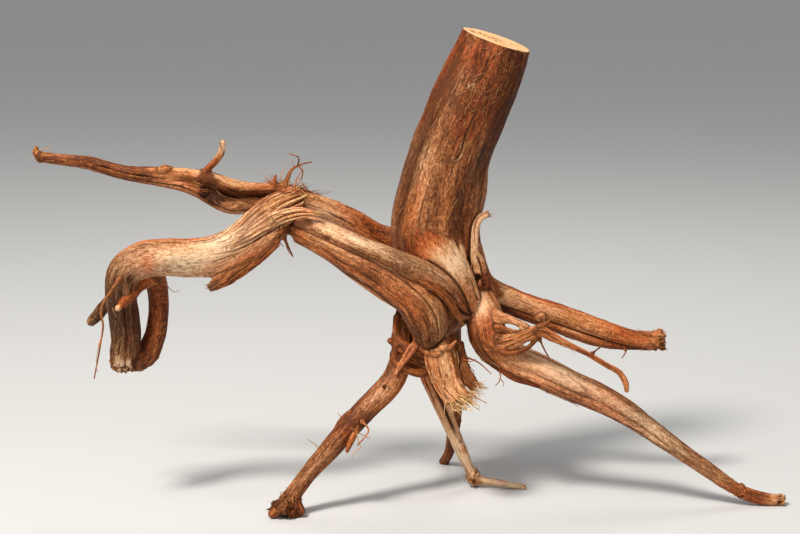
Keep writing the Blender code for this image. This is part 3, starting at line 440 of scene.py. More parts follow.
SPLINTER_LOOK = Look(
    across=0.6, along=1.1, strands=0.5, strand_width=3.0, bark=0.22, pale=0.4, red=0.45, fuse=3.5,
)
STRAND_LOOK = Look(
    across=0.45, along=0.9, strands=0.3, strand_width=1.6, cracks=0.3, pale=0.8, grey=0.1, fuse=1.0,
)
LOOKS = {
    "stump": Look(
        across=0.62, along=1.3, strand_width=6.5, cracks=0.6, pits=0.7, bark=0.1, pale=0.35, red=0.35,
        grey=0.22, worn=0.45, fuse=7,
        patches=[
            at(0.14, -78, 0.2, 17, red=1.5, pale=-0.1), at(0.3, -66, 0.4, 12, pale=-0.14),
            at(0.55, -76, 0.3, 18, grey=0.6), at(0.55, -80, 0.3, 16, pale=-0.1),
            at(0.04, -44, 0.05, 12, grey=0.5, pale=0.15), at(0.14, -52, 0.04, 9, bark=0.3),
            at(0.14, -36, 0.07, 14, grey=0.7, pale=0.08), at(0.62, -62, 0.14, 12, pale=-0.2),
            at(0.13, 25, 0.1, 26, red=0.5), at(0.5, -44, 0.1, 12, pale=0.06),
            at(0.48, -44, 0.12, 14, grey=0.6), at(0.8, -58, 0.06, 34, red=1.2),
            at(0.8, -58, 0.07, 34, pale=-0.24), at(0.06, 14, 0.08, 24, red=0.9),
            at(0.2, 2, 0.12, 16, red=0.9), at(0.07, 12, 0.08, 16, bark=0.25), at(0.2, 0, 0.09, 10, bark=0.25),
            # at(0.2, 62) darkens the trunk's right side: partly its own dark brown, partly painted shade.
            at(0.2, 62, 0.22, 26, pale=-0.3), at(0.16, 50, 0.14, 18, bark=0.3),
            at(0.4, 38, 0.07, 8, grey=0.5), at(0.4, 38, 0.08, 8, pale=-0.2), at(0.6, 0, 0.14, 60, worn=0.4),
            at(0.42, 80, 0.3, 16, pale=0.2), at(0.79, -20, 0.05, 46, red=3.0),
            at(0.08, 20, 0.12, 50, pale=-0.14), at(0.05, 10, 0.1, 80, red=0.8),
            at(0.12, 62, 0.2, 30, bark=0.2), at(0.74, 40, 0.1, 20, pale=-0.12),
            at(0.65, -10, 0.1, 40, pale=0.08), at(0.8, -20, 0.06, 50, worn=0.5),
            at(0.79, -14, 0.06, 44, bark=-0.8), at(0.79, -20, 0.05, 44, pale=0.04),
            at(0.79, -14, 0.05, 50, grey=-0.5), at(0.3, 140, 0.3, 60, red=0.4),
            at(0.5, 180, 0.3, 50, grey=0.4),
        ],
        splits=[
            (0.03, -52, 0.86, -63, 1.6, 2.6), (0.02, 4, 0.2, -10, 0.8, 0.8), (0.02, -4, 0.34, -16, 0.8, 0.7),
            (0.03, 24, 0.3, 12, 0.6, 0.6), (0.22, 10, 0.5, 4, 0.8, 0.7), (0.3, 28, 0.62, 30, 0.7, 0.6),
            (0.1, -40, 0.5, -38, 0.5, 0.4), (0.05, 48, 0.5, 56, 0.8, 0.8), (0.5, -20, 0.76, -24, 0.5, 0.5),
            (0.3, 60, 0.7, 62, 0.6, 0.7), (0.1, 150, 0.7, 140, 0.8, 1.5), (0.2, -120, 0.8, -130, 0.7, 1.2),
            (0.66, 44, 0.9, 36, 1.2, 2.2),
        ],
    ),
    "crown": Look(across=1.0, along=2.0, strands=1.0, bark=0.3, pale=0.45, fuse=7),
    "flare": Look(
        across=0.6, strands=1.2, strand_width=8, pale=0.84, red=0.25, grey=0.05, worn=0.8, fuse=9,
        patches=[
            ring(0.0, 0.2, red=1.8), ring(0.0, 0.24, pale=-0.6), ring(0.75, 0.16, pale=-0.16),
            at(0.27, -32, 0.04, 18, pale=0.2), at(0.27, -32, 0.03, 18, red=0.6),
            # at(0.43, -16) is the flare's olive tone with painted shade below its ridge.
            at(0.43, -16, 0.07, 22, pale=-0.36, grey=0.4), at(0.4, 10, 0.2, 50, pale=0.3),
            at(0.45, 10, 0.2, 50, grey=0.35), at(0.35, -45, 0.1, 20, red=0.8), at(0.8, 0, 0.1, 60, pale=0.1),
            at(0.9, 20, 0.2, 60, red=0.4),
        ],
        splits=[(0.2, 62, 1.0, 44, 1.3, 2.6), (0.6, 6, 0.95, 0, 0.35, 0.6)],
    ),
    "front_arm": Look(
        across=0.55, along=1.15, strands=0.5, strand_width=6, pits=0.8, bark=0.12, pale=0.47, red=0.25,
        worn=0.5,
        patches=[
            at(0.12, 10, 0.1, 30, bark=0.2), at(0.55, -35, 0.3, 16, bark=0.25),
            at(0.7, -30, 0.2, 40, red=0.5), at(0.3, 20, 0.3, 26, pale=0.2), at(0.3, 20, 0.3, 40, grey=0.4),
            at(0.97, -60, 0.1, 70, bark=0.4), at(1.0, -40, 0.08, 70, dark=0.4), ring(0.95, 0.12, grey=0.25),
            ring(0.95, 0.1, red=-0.2), ring(0.0, 0.03, dark=0.6), at(0.08, 0, 0.06, 90, red=0.6),
            ring(0.93, 0.16, pale=-0.27), at(0.9, 20, 0.2, 40, grey=0.3),
        ],
        splits=[
            (0.0, 34, 0.5, 40, 0.6, 0.9), (0.35, -8, 1.0, 0, 0.5, 0.6), (0.45, 34, 0.95, 30, 0.5, 0.6),
            (0.3, -34, 1.0, -28, 0.6, 0.8), (0.5, 14, 0.9, 14, 0.4, 0.5), (0.1, 6, 0.4, 8, 0.5, 0.6),
            (0.6, -56, 1.0, -50, 0.5, 0.7),
        ],
    ),
    "front_arm_top": Look(
        across=0.55, along=1.2, pits=0.9, bark=0.02, pale=0.57, grey=0.45, worn=0.6, fuse=6,
        patches=[
            at(0.32, 30, 0.26, 40, pale=0.2), at(0.95, 0, 0.12, 90, red=0.5), at(0.6, -30, 0.3, 30, red=0.3),
            ring(0.05, 0.06, red=0.5), at(0.7, 30, 0.2, 50, grey=0.3),
        ],
        splits=[
            (0.05, -10, 0.62, -24, 0.3, 0.4), (0.5, 10, 0.95, -4, 0.3, 0.5), (0.55, 40, 0.95, 30, 0.3, 0.4),
        ],
    ),
    "front_arm_low": Look(bark=0.15, red=0.3),
    "bark_curtain": Look(across=0.45, strands=0.7, strand_width=2.5, bark=0.05, red=0.6, fuse=3),
    "torn_stub": Look(
        along=1.0, strands=0.5, strand_width=3.5, fibres=0.3, bark=0.04, pale=0.56, red=0.4, worn=0.3, fuse=2,
        patches=[
            at(0.2, 40, 0.2, 60, red=0.5), at(0.3, 10, 0.3, 30, pale=0.4), at(0.5, -70, 0.4, 40, red=0.6),
            ring(0.9, 0.15, pale=0.3),
        ],
        splits=[
            (0.3, 25, 1.0, 34, 0.5, 0.9), (0.35, -20, 1.0, -14, 0.5, 0.8), (0.4, 60, 1.0, 66, 0.5, 0.8),
            (0.2, -50, 1.0, -46, 0.5, 0.8),
        ],
    ),
    "stub_bark": Look(
        across=0.45, along=0.9, strands=0.9, strand_width=2.5, bark=0.45, pale=0.3, red=0.9, fuse=2.5,
    ),
    "hook": Look(
        along=1.15, strand_width=8, cracks=0.2, pale=0.66, red=0.12, grey=0.55, worn=0.9, fuse=5,
        patches=[
            at(0.42, 0, 0.16, 60, pale=0.22), at(0.5, -94, 0.3, 14, red=0.9),
            # The rings at 0.84 and 0.85, with the grey at 0.85, darken the hanging part: its bark and grey,
            # and painted shadow from the hook's top.
            at(0.5, -94, 0.3, 16, grey=-0.5), ring(0.85, 0.2, bark=0.34, worn=-0.7),
            ring(0.84, 0.17, pale=-0.72), at(0.85, 0, 0.2, 100, grey=0.2), at(0.85, 75, 0.2, 70, red=0.6),
            at(0.35, -85, 0.1, 20, bark=0.5), at(0.28, 48, 0.05, 22, red=0.9),
            at(0.1, -30, 0.12, 100, worn=-0.7), at(0.02, -35, 0.05, 34, bark=0.9),
            at(0.0, -30, 0.04, 30, dark=0.5), at(0.08, -10, 0.1, 70, dark=0.55),
            at(0.67, 28, 0.035, 26, dark=0.9), at(0.03, -35, 0.06, 40, red=0.9),
            at(0.12, 50, 0.14, 30, pale=-0.2), at(0.14, 55, 0.14, 30, red=0.4),
            at(0.6, -90, 0.1, 20, bark=0.4), at(0.57, 10, 0.03, 40, red=0.6), ring(1.0, 0.025, crumb=2.6),
            ring(0.08, 0.14, grey=-0.5), at(0.08, -60, 0.1, 70, red=0.6), at(0.44, 60, 0.1, 30, red=0.3),
            at(0.98, 20, 0.02, 50, pale=0.9),
        ],
        splits=[
            (0.66, 50, 1.0, 46, 0.7, 1.3), (0.68, 12, 1.0, 14, 0.7, 1.2), (0.7, -22, 1.0, -20, 0.6, 1.1),
            (0.72, -50, 1.0, -48, 0.6, 1.0), (0.66, 84, 0.95, 80, 0.6, 1.0), (0.25, -70, 0.6, -66, 0.4, 0.7),
            (0.2, -58, 0.42, -56, 0.35, 0.5), (0.08, 24, 0.3, 4, 0.4, 0.7), (0.1, 44, 0.24, 30, 0.4, 0.6),
            (0.2, 62, 0.4, 40, 0.3, 0.4), (0.3, 12, 0.44, 8, 0.25, 0.3),
        ],
        fans=[(0.42, (-80, 56), (-74, -16), 9, 2.2)],
    ),
    "hook_return": Look(
        across=0.6, strands=0.25, cracks=0.2, pale=0.27, red=0.45, grey=0.12, worn=0.9, fuse=5,
        patches=[
            ring(0.16, 0.16, bark=0.5), ring(0.14, 0.12, crumb=1.2), ring(0.12, 0.16, worn=-0.8),
            at(0.6, 0, 0.2, 50, pale=0.3),
        ],
    ),
    "hook_flap": Look(
        across=0.45, along=0.9, strands=0.7, strand_width=2.5, bark=0.05, red=0.4, fuse=2,
        patches=[
            at(0.6, 60, 0.4, 40, red=0.6), at(0.72, -64, 0.16, 30, hollow=2.4), ring(0.97, 0.06, grey=0.7),
            ring(0.97, 0.08, pale=-0.2), ring(0.4, 0.3, pale=-0.12),
        ],
        splits=[(0.2, 50, 1.0, 30, 0.5, 0.8), (0.1, 20, 1.0, 8, 0.4, 0.7), (0.3, 80, 1.0, 60, 0.4, 0.7)],
    ),
    "fan_flap": Look(
        across=0.35, along=0.8, strands=0.3, strand_width=2, pale=0.7, worn=0.1, fuse=2,
        patches=[ring(0.0, 0.2, red=0.5)],
        fans=[(1.2, (-95, 95), (-80, 70), 4, 1.6)],
    ),
    "back_arm": Look(
        across=0.58, along=1.2, strands=0.5, strand_width=5, bark=0.1, pale=0.47, red=0.27, grey=0.1,
        worn=0.4,
        patches=[
            ring(0.05, 0.06, bark=0.7), at(0.13, -20, 0.06, 90, red=0.7), ring(0.2, 0.12, worn=0.6),
            at(0.42, -60, 0.05, 60, red=0.5), at(0.572, 10, 0.026, 42, hollow=5.5),
            at(0.572, 10, 0.03, 44, dark=2.6), at(0.68, 30, 0.06, 60, pale=0.3, grey=0.3),
            at(0.68, -60, 0.08, 40, pale=0.25), at(0.585, -30, 0.035, 20, bark=0.9),
            at(0.52, 0, 0.05, 15, dark=1.4), at(0.45, -4, 0.05, 15, dark=1.0),
            at(0.52, -6, 0.045, 26, hollow=4.5), at(0.46, -10, 0.045, 20, hollow=3.5),
            at(0.5, -74, 0.1, 24, pale=0.2), at(0.27, 0, 0.09, 70, pale=0.3), at(0.27, 0, 0.1, 80, grey=0.2),
            at(0.86, -20, 0.05, 80, bark=0.5), ring(0.99, 0.02, bark=0.4), ring(0.85, 0.16, pale=-0.2),
            at(0.52, -64, 0.1, 30, pale=0.4), at(0.5, 66, 0.1, 40, pale=0.4),
            at(0.73, -30, 0.04, 60, bark=0.4), at(0.7, 40, 0.2, 60, red=0.3),
            at(0.5, -20, 0.12, 30, bark=0.25), at(0.6, -60, 0.03, 50, bark=0.8),
        ],
        splits=[
            (0.57, 4, 0.86, -6, 0.8, 1.8), (0.6, 40, 0.8, 30, 0.5, 0.9), (0.4, -30, 0.56, -36, 0.5, 1.0),
            (0.1, 10, 0.36, 0, 0.4, 0.5), (0.44, 40, 0.56, 46, 0.5, 0.9), (0.75, -30, 0.95, -20, 0.4, 0.6),
        ],
    ),
    "right_root": Look(
        across=0.55, along=1.2, strands=0.35, pale=0.84, red=0.36, worn=0.75, fuse=5,
        patches=[
            # ring(0.14) and the dark patch at 0.17 are painted shade below the upright twig.
            at(0.3, 20, 0.2, 35, pale=0.35), ring(0.14, 0.05, pale=-0.2), at(0.17, -40, 0.05, 40, dark=0.9),
            ring(0.85, 0.16, red=0.7), ring(0.85, 0.14, pale=-0.3), ring(0.98, 0.05, bark=0.5),
            at(0.45, 88, 0.4, 15, bark=0.6), at(0.45, 84, 0.4, 24, red=0.8), at(0.45, 88, 0.4, 18, pale=-0.3),
            ring(1.0, 0.035, crumb=2.2), at(0.6, -50, 0.3, 20, bark=0.3), ring(0.97, 0.05, worn=-0.5),
        ],
    ),
    "right_root_under": Look(across=0.6, strands=0.3, bark=0.3, pale=0.3, red=0.6, worn=0.3),
    "right_shoulder": Look(
        strands=0.9, strand_width=3, bark=0.08, red=0.6, fuse=6,
        patches=[ring(0.9, 0.2, pale=0.3, red=-0.3)],
    ),
    "upright_twig": Look(
        across=0.45, along=0.9, strands=0.35, strand_width=2.6, pale=0.86, grey=0.35, worn=0.4, fuse=3.5,
        patches=[
            ring(0.2, 0.16, bark=0.4, pale=-0.3), ring(0.8, 0.25, pale=0.3), ring(0.2, 0.2, grey=-0.5),
            ring(0.22, 0.15, red=0.9), ring(0.25, 0.14, crumb=1.2), ring(1.0, 0.02, bark=0.6),
            at(0.3, 20, 0.05, 36, hollow=4.0),
        ],
        splits=[(0.0, -30, 0.5, -20, 0.8, 1.6), (0.05, 60, 0.45, 50, 0.6, 1.2)],
    ),
    "front_leg": Look(
        across=0.6, strand_width=8, pits=0.45, bark=0.04, pale=0.62, red=0.31, grey=0.18, worn=0.7, fuse=6,
        patches=[
            at(0.1, 10, 0.035, 40, pale=0.4), at(0.1, 10, 0.04, 40, grey=0.4),
            at(0.165, 10, 0.035, 70, pale=-0.24), at(0.16, 10, 0.04, 70, red=0.5),
            at(0.24, -76, 0.1, 26, bark=0.6), at(0.3, -50, 0.15, 40, red=0.4), ring(0.885, 0.02, bark=0.6),
            ring(0.885, 0.03, red=1.0), ring(0.985, 0.025, pale=0.4, red=-0.3), ring(0.93, 0.025, red=0.5),
            at(0.2, -30, 0.06, 50, pale=-0.3), at(0.2, -74, 0.08, 26, dark=0.5),
            at(0.34, 20, 0.13, 60, pale=0.26), at(0.34, 20, 0.1, 50, grey=0.25), ring(0.65, 0.16, pale=-0.12),
            at(0.64, 20, 0.2, 90, grey=0.7), ring(0.66, 0.18, red=-0.16), at(0.3, 20, 0.1, 60, pale=0.16),
            at(0.17, -60, 0.06, 60, red=0.3), at(0.12, -66, 0.1, 26, bark=0.5),
            at(0.4, -75, 0.3, 30, pale=-0.3), ring(1.0, 0.012, crumb=1.8), ring(0.895, 0.012, crumb=1.6),
            ring(0.5, 0.06, red=0.35),
        ],
        splits=[
            (0.24, -40, 0.5, -30, 0.3, 0.4), (0.3, -12, 0.75, -6, 0.3, 0.4), (0.1, -30, 0.24, -40, 0.6, 1.0),
            (0.5, -50, 0.86, -44, 0.35, 0.5),
        ],
    ),
    "front_leg_under": Look(
        across=0.45, along=0.9, strands=0.7, strand_width=2, bark=0.45, pale=0.3, red=0.9, fuse=2,
    ),
    "fork": Look(
        along=1.0, strands=0.8, strand_width=2.4, bark=0.06, pale=0.6, red=0.5,
        patches=[ring(0.92, 0.06, bark=0.5), ring(0.7, 0.2, red=0.4)],
        splits=[(0.0, 10, 0.45, 30, 0.5, 0.9), (0.0, -30, 0.4, -20, 0.5, 0.9), (0.3, 0, 0.9, 10, 0.4, 0.6)],
    ),
    "left_leg": Look(
        across=0.55, along=1.2, strand_width=6, pits=0.8, bark=0.04, pale=0.27, red=0.34, grey=0.12, worn=0.7,
        fuse=6,
        patches=[
            ring(0.2, 0.1, bark=0.35), ring(0.25, 0.1, red=0.4), ring(0.62, 0.05, red=0.6),
            ring(0.985, 0.03, bark=0.9), at(0.8, 0, 0.12, 90, pale=0.2), at(0.45, -10, 0.08, 50, pale=0.3),
            at(0.45, -20, 0.1, 50, grey=0.4), at(0.8, 0, 0.1, 60, grey=0.4), at(0.6, 70, 0.4, 40, red=0.8),
            ring(0.6, 0.05, pale=-0.25), at(0.41, -20, 0.01, 12, hollow=1.6), ring(0.99, 0.05, crumb=3.2),
            ring(0.96, 0.07, worn=-0.6), ring(0.93, 0.04, pale=0.2),
        ],
        splits=[(0.4, 60, 0.9, 50, 0.35, 0.5), (0.62, -40, 0.9, -30, 0.3, 0.4)],
    ),
    "low_knot": Look(
        along=0.9, strands=1.3, strand_width=3.2, cracks=0.9, bark=0.25, pale=0.4, red=0.7, fuse=3,
        patches=[at(0.4, 0, 0.3, 60, dark=0.5)],
    ),
    "knot_spike": Look(across=0.45, along=0.8, strands=0.5, strand_width=2.5, pale=0.62, red=0.8, fuse=2.5),
    "right_bump": Look(across=0.6, strands=0.3, pale=0.75, red=0.35, worn=0.6, fuse=6),
    "leg_peg": Look(along=1.0, strands=0.5, strand_width=2.5, bark=0.35, pale=0.25, red=0.6, fuse=3),
    "fork_bridge": Look(
        along=0.9, strands=0.5, strand_width=4, bark=0.05, pale=0.45, red=0.25, grey=0.2, worn=0.6,
    ),
    "stub_lip": Look(across=0.4, along=0.7, strands=0.5, strand_width=2, red=0.5, fuse=2),
    "top_spur": Look(
        across=0.4, along=0.8, strands=0.3, strand_width=3, red=0.8, worn=0.5, fuse=3.5,
        patches=[ring(0.9, 0.25, pale=0.6, red=-0.8, grey=0.5)],
    ),
    "hook_front_spur": Look(
        across=0.4, along=0.8, strand_width=3, bark=0.05, red=0.9, worn=0.4, fuse=5,
        patches=[ring(1.0, 0.06, pale=0.5, red=-0.8)],
    ),
    "hook_left_spur": Look(
        along=1.0, strands=0.3, strand_width=3, bark=0.45, pale=0.0, red=0.1, grey=0.7, worn=0.7,
        patches=[ring(1.0, 0.12, pale=0.3, bark=-0.3)],
    ),
    "middle_leg": Look(
        along=1.1, strand_width=4.5, pale=0.78, red=0.36, grey=0.1, worn=0.7, fuse=5,
        patches=[
            ring(0.76, 0.022, bark=0.9), ring(0.76, 0.025, crumb=1.8), ring(0.88, 0.12, pale=0.3),
            ring(0.2, 0.2, red=0.6), ring(0.58, 0.14, pale=0.5), ring(0.9, 0.1, grey=0.7),
            at(0.6, 30, 0.03, 40, red=0.9), ring(0.62, 0.12, grey=0.5), ring(0.62, 0.1, red=-0.3),
            # ring(0.36) lightens the upper part: partly its own cream, partly painted light where the stub
            # shades it.
            at(0.9, 60, 0.04, 60, red=0.5), ring(0.93, 0.1, red=-0.25), ring(0.36, 0.14, pale=0.3),
        ],
        splits=[(0.1, 14, 0.5, 22, 0.6, 1.2), (0.1, -30, 0.4, -34, 0.4, 0.6)],
    ),
    "back_leg": Look(across=1.0, along=2.0, strands=0.55, bark=0.35, pale=0.3, red=0.5, fuse=7),
}

FRAYS = [
    Fray("stump", 360, (0.01, 0.2), (-12, 40), (1.5, 5), 0.12, 0.2, 0.13, (0.3, 0.75)),
    Fray("stump", 90, (0.15, 0.36), (-10, 26), (3, 9), 0.07, 0.2, 0.13, (0.35, 0.8)),
    Fray("stump", 6, (0.35, 0.39), (4, 14), (5, 8), 0.15, 0.3, 0.15, (0.8, 1.0)),
    Fray("stump", 14, (0.14, 0.19), (-20, -12), (3, 7), 0.2, 0.3, 0.15, (0.8, 1.0)),
    Fray("stump", 50, (0.34, 0.6), (-25, 40), (5, 15), 0.06, 0.15, 0.17, (0.4, 0.9)),
    Fray("stump", 12, (0.42, 0.56), (-48, -12), (4, 9), 0.1, 0.4, 0.14, (0.6, 0.9)),
    Fray("stump", 60, (0.0, 0.3), (-96, -70), (2, 4), 0.25, 0.3, 0.16, (0.3, 0.6)),
    Fray("stump", 60, (0.0, 0.03), (-90, 90), (2, 5), 0.3, 0.4, 0.22, (0.5, 1.0)),
    Fray("stump", 110, (0.05, 0.9), (-180, 180), (4, 12), 0.06, 0.2, 0.18, (0.2, 0.8)),
    Fray("front_arm", 50, (0.02, 0.9), (-60, 60), (4, 12), 0.05, 0.15, 0.17, (0.3, 0.9)),
    Fray("back_arm", 130, (0.42, 0.64), (-30, 34), (4, 12), 0.10, 0.25, 0.2, (0.2, 0.75)),
    Fray("back_arm", 50, (0.66, 1.0), (-80, 80), (3, 9), 0.06, 0.2, 0.17, (0.3, 0.8)),
    Fray("back_arm", 60, (0.33, 0.42), (-115, -50), (4, 12), 0.45, 0.4, 0.28, (0.3, 0.6)),
    Fray("back_arm", 30, (0.03, 0.1), (-60, 60), (4, 10), 0.12, 0.3, 0.25, (0.15, 0.5)),
    Fray("hook", 90, (0.0, 0.34), (-95, 60), (6, 16), 0.03, 0.08, 0.22, (0.45, 1.0)),
    Fray("hook", 40, (0.7, 1.0), (-60, 80), (4, 12), 0.05, 0.15, 0.2, (0.3, 0.9)),
    Fray("hook_flap", 50, (0.1, 0.9), (-80, 80), (4, 10), 0.06, 0.2, 0.2, (0.35, 0.8)),
    Fray("right_root", 60, (0.9, 1.0), (-180, 180), (2, 6), 0.25, 0.4, 0.3, (0.35, 0.75)),
    Fray("right_root", 70, (0.1, 0.85), (50, 120), (1.5, 4), 0.12, 0.3, 0.17, (0.3, 0.7)),
    Fray("front_leg", 80, (0.14, 0.42), (-115, -50), (4, 12), 0.12, 0.3, 0.24, (0.35, 0.9)),
    Fray("front_leg", 50, (0.4, 0.95), (-180, 180), (3, 9), 0.04, 0.15, 0.16, (0.4, 0.9)),
    Fray("left_leg", 60, (0.1, 0.95), (-180, 180), (4, 10), 0.06, 0.2, 0.18, (0.3, 0.9)),
    Fray("left_leg", 60, (0.93, 1.0), (-180, 180), (2, 5), 0.5, 0.5, 0.4, (0.25, 0.7)),
    Fray("low_knot", 50, (0.05, 0.95), (-80, 80), (4, 11), 0.1, 0.25, 0.25, (0.3, 0.8)),
    Fray("middle_leg", 50, (0.72, 0.79), (-180, 180), (2, 5), 0.5, 0.4, 0.35, (0.25, 0.8)),
    Fray("torn_stub", 70, (0.2, 1.0), (-120, 120), (5, 12), 0.06, 0.15, 0.24, (0.5, 1.0)),
    Fray("stub_bark", 60, (0.2, 1.0), (-120, 120), (4, 10), 0.12, 0.3, 0.26, (0.35, 0.75)),
    Fray("bark_curtain", 30, (0.1, 0.95), (-80, 80), (4, 9), 0.08, 0.2, 0.22, (0.35, 0.7)),
    Fray("right_shoulder", 50, (0.1, 1.0), (-90, 90), (3, 8), 0.06, 0.2, 0.2, (0.35, 0.8)),
    Fray("upright_twig", 40, (0.05, 0.45), (-180, 180), (3, 7), 0.1, 0.2, 0.2, (0.3, 0.7)),
    Fray("fan_flap", 50, (0.0, 0.9), (-90, 90), (3, 9), 0.03, 0.1, 0.18, (0.5, 1.0)),
    Fray("fork", 40, (0.0, 0.6), (-180, 180), (3, 8), 0.08, 0.2, 0.18, (0.4, 0.9)),
]

BRUSHES = [
    Brush("torn_stub", 340, (2, 8), 0.7, (0.5, -0.15, 0.25), 0.36, (0.75, 1.0)),
    Brush("stub_bark", 60, (3, 7), 0.7, (0.2, 0, 0.1), 0.34, (0.6, 1.0)),
    Brush("hook", 40, (1, 4), 0.6, (0, 0, 0), 0.5, (0.4, 1.0)),
    Brush("hook", 40, (3, 8), 0.2, (0.1, 0, 0), 0.3, (0.5, 1.0), True),
    Brush("fan_flap", 26, (2, 6), 0.25, (0.1, 0, 0), 0.26, (0.5, 1.0), True),
    Brush("hook_flap", 14, (0.5, 1.6), 0.3, (-0.2, 0, -0.1), 0.3, (0.2, 0.7)),
    Brush("back_arm", 30, (1, 3), 0.6, (0, 0, 0.3), 0.25, (0.4, 0.9)),
    Brush("right_root", 90, (1, 4), 0.8, (0, 0, 0.1), 0.34, (0.35, 0.8)),
    Brush("left_leg", 60, (1, 4), 0.9, (0, 0, 0.3), 0.4, (0.25, 0.7)),
    Brush("front_leg", 30, (1, 3), 0.5, (0, 0, 0.1), 0.3, (0.6, 1.0)),
    Brush("upright_twig", 16, (1, 2), 0.6, (0, 0, 0), 0.25, (0.3, 0.6)),
]

# Hair-fine rootlets, in the same way.
HAIRS = {
    "leg_twig": [(-37.3, -48.5, 63.8, 0.5), (-32.2, -52, 61.3, 0.4), (-27.8, -52, 58.3, 0.3),
        (-22, -52, 56, 0.2)],
    "leg_twig_down": [(-32.2, -52, 61.3, 0.4), (-30.8, -52, 54.5, 0.4), (-28.6, -52, 49.2, 0.3),
        (-33.8, -52, 45.4, 0.3), (-35.2, -52, 39.4, 0.2)],
    "leg_thorn": [(-59, -50.5, 47, 0.4), (-63.6, -51.5, 51.8, 0.3), (-67.2, -52, 55.7, 0.2)],
    "leg_peg_hair": [(-41.5, -46, 69.8, 0.4), (-44.4, -47, 71.8, 0.3), (-45.8, -47, 74.2, 0.2)],
    "loop_hair": [(-176.5, -32.5, 165.9, 0.4), (-172.1, -34, 167.5, 0.4), (-169.2, -34, 164.6, 0.3),
        (-166.4, -34, 161.6, 0.3), (-161.3, -34, 162.4, 0.2)],
    "loop_hair_low": [(-176.5, -30.5, 157.2, 0.4), (-172.9, -31.5, 156, 0.3), (-170.7, -32, 156.8, 0.2)],
    "tip_hair_high": [(-268.4, -8, 258.6, 0.5), (-266.8, -8, 262.3, 0.4), (-262.3, -8, 263.8, 0.3),
        (-256.4, -8, 264.5, 0.2)],
    "tip_hair_low": [(-267.1, -7, 257.8, 0.4), (-264.1, -7, 260.7, 0.3), (-256.7, -7, 261.5, 0.2)],
    "tip_hair_up": [(-267.6, -8, 259.4, 0.4), (-268.2, -8, 263.1, 0.3), (-269.6, -8, 264.5, 0.2)],
    "leg_root_hair": [(73.4, -34, 102, 0.6), (74.1, -36, 97.7, 0.5), (72.7, -36, 93.9, 0.4),
        (70.5, -36, 91.6, 0.3)],
    "leg_root_hair_side": [(74.2, -36, 97, 0.4), (76.4, -36, 93.9, 0.3), (75.7, -36, 90.1, 0.2)],
    "stub_twig": [(43, -37, 110.8, 0.6), (48.3, -40, 112.1, 0.5), (52, -41, 110.8, 0.4),
        (55.6, -42, 113.1, 0.3)],
    "tuft_hair_left": [(-85.6, -5, 232.8, 0.5), (-88.1, -6, 242, 0.4), (-86.5, -6, 247.3, 0.3),
        (-84.3, -6, 250.2, 0.2)],
    "tuft_hair_mid": [(-81.2, -9.5, 232, 0.5), (-82.1, -7, 243.7, 0.4), (-79, -7, 249.6, 0.3),
        (-79.7, -7, 255.5, 0.2)],
    "tuft_hair_right": [(-78.8, -9.5, 231.5, 0.4), (-76.2, -7, 242.2, 0.4), (-73.2, -7, 246.6, 0.3),
        (-72.4, -7, 252.6, 0.2)],
    "tuft_hair_low": [(-82.3, -9.5, 232, 0.4), (-76.9, -8, 238.6, 0.3), (-73.9, -8, 243.8, 0.2)],
    "hook_shred": [(-181, -50, 176.8, 0.6), (-178.2, -52, 171.6, 0.4), (-174.6, -52, 170.8, 0.3)],
    "crossing_hair": [(-87.5, -22, 201.1, 0.6), (-84.6, -22, 195.9, 0.5), (-82.5, -22, 190.7, 0.4),
        (-78.8, -22, 185.5, 0.3)],
    "crossing_hair_left": [(-89, -22, 201.1, 0.5), (-88.3, -22, 195.9, 0.4), (-85.4, -22, 192.9, 0.2)],
    "spur_hair": [(-215.6, -64, 132.1, 0.4), (-217.2, -64, 124.8, 0.3), (-219, -64, 115.9, 0.2),
        (-217.7, -64, 108.5, 0.2)],
}

ROOTLET_SLIMNESS = 0.68
HAIR_TONES = (0.4, 0.8)

# The pale strands that fan out over the crossing and gather on the hook's upper side.
FAN_SEED = 3
STRAND_COUNT = 9
STRANDS_BEGIN_AT_ANGLES = (-64, 30)
STRANDS_GATHER_AT_ANGLES = (-60, -16)
STRAND_REACH = 0.29
STRAND_RADIUS = 1.7

# The broomed fibres of the torn stub.
STRAW_COUNT = 24
STRAW_LENGTHS = (6, 15)
STRAW_RADIUS = 0.7
STRAW_SWEEP = (0.75, -0.25, 0.35)
STRAW_SEED = 5

# The part of a full turn from one straw to the next, and the share of the stub's radius they stand on.
GOLDEN_TURN = 0.382
STRAW_REACH = 0.86

# Millimetres between the points of a course that strands and straw, brushes or hairs are placed by.
COARSE_STEP = 11.5
BRUSH_STEP = 4
HAIR_STEP = 1.2


def value_noise(points, seed):
    """Smooth noise from -1 to 1 at each of the points, with one lattice cell to a unit."""
    cell = np.floor(points).astype(np.int64)
    share = points - cell
    share = share * share * (3 - 2 * share)
    keys = [(cell[..., k] * factor, (cell[..., k] + 1) * factor) for k, factor in enumerate(AXIS_FACTORS)]
    weights = [(1 - share[..., k], share[..., k]) for k in range(3)]
    total = np.zeros(points.shape[:-1])
    for a, b, c in np.ndindex(2, 2, 2):
        key = keys[0][a] ^ keys[1][b] ^ keys[2][c] ^ seed * SEED_FACTOR
        key = (key ^ (key >> 13)) * SCATTER_FACTOR & KEY_RANGE
        total += weights[0][a] * weights[1][b] * weights[2][c] * (key / (KEY_RANGE // 2) - 1)
    return total


def smooth_step(low, high, value):
    share = np.clip((value - low) / (high - low), 0, 1)
    return share * share * (3 - 2 * share)


def smooth_minimum(one, two, width):
    """The smaller of two distances, rounded where they are within the width of each other."""
    near = np.clip(width - np.abs(one - two), 0, None)
    return np.minimum(one, two) - near * near / (4 * width)


def window(share, low, high, ramp=0.08):
    """1 between low and high and 0 outside them, with soft ends."""
    rise = np.clip((share - low) / ramp + 0.5, 0, 1)
    fall = np.clip((high - share) / ramp + 0.5, 0, 1)
    return rise * fall


def angle_from(angle, middle):
    return (angle - middle + 180) % 360 - 180


def unit(vectors):
    return vectors / np.linalg.norm(vectors, axis=-1, keepdims=True)


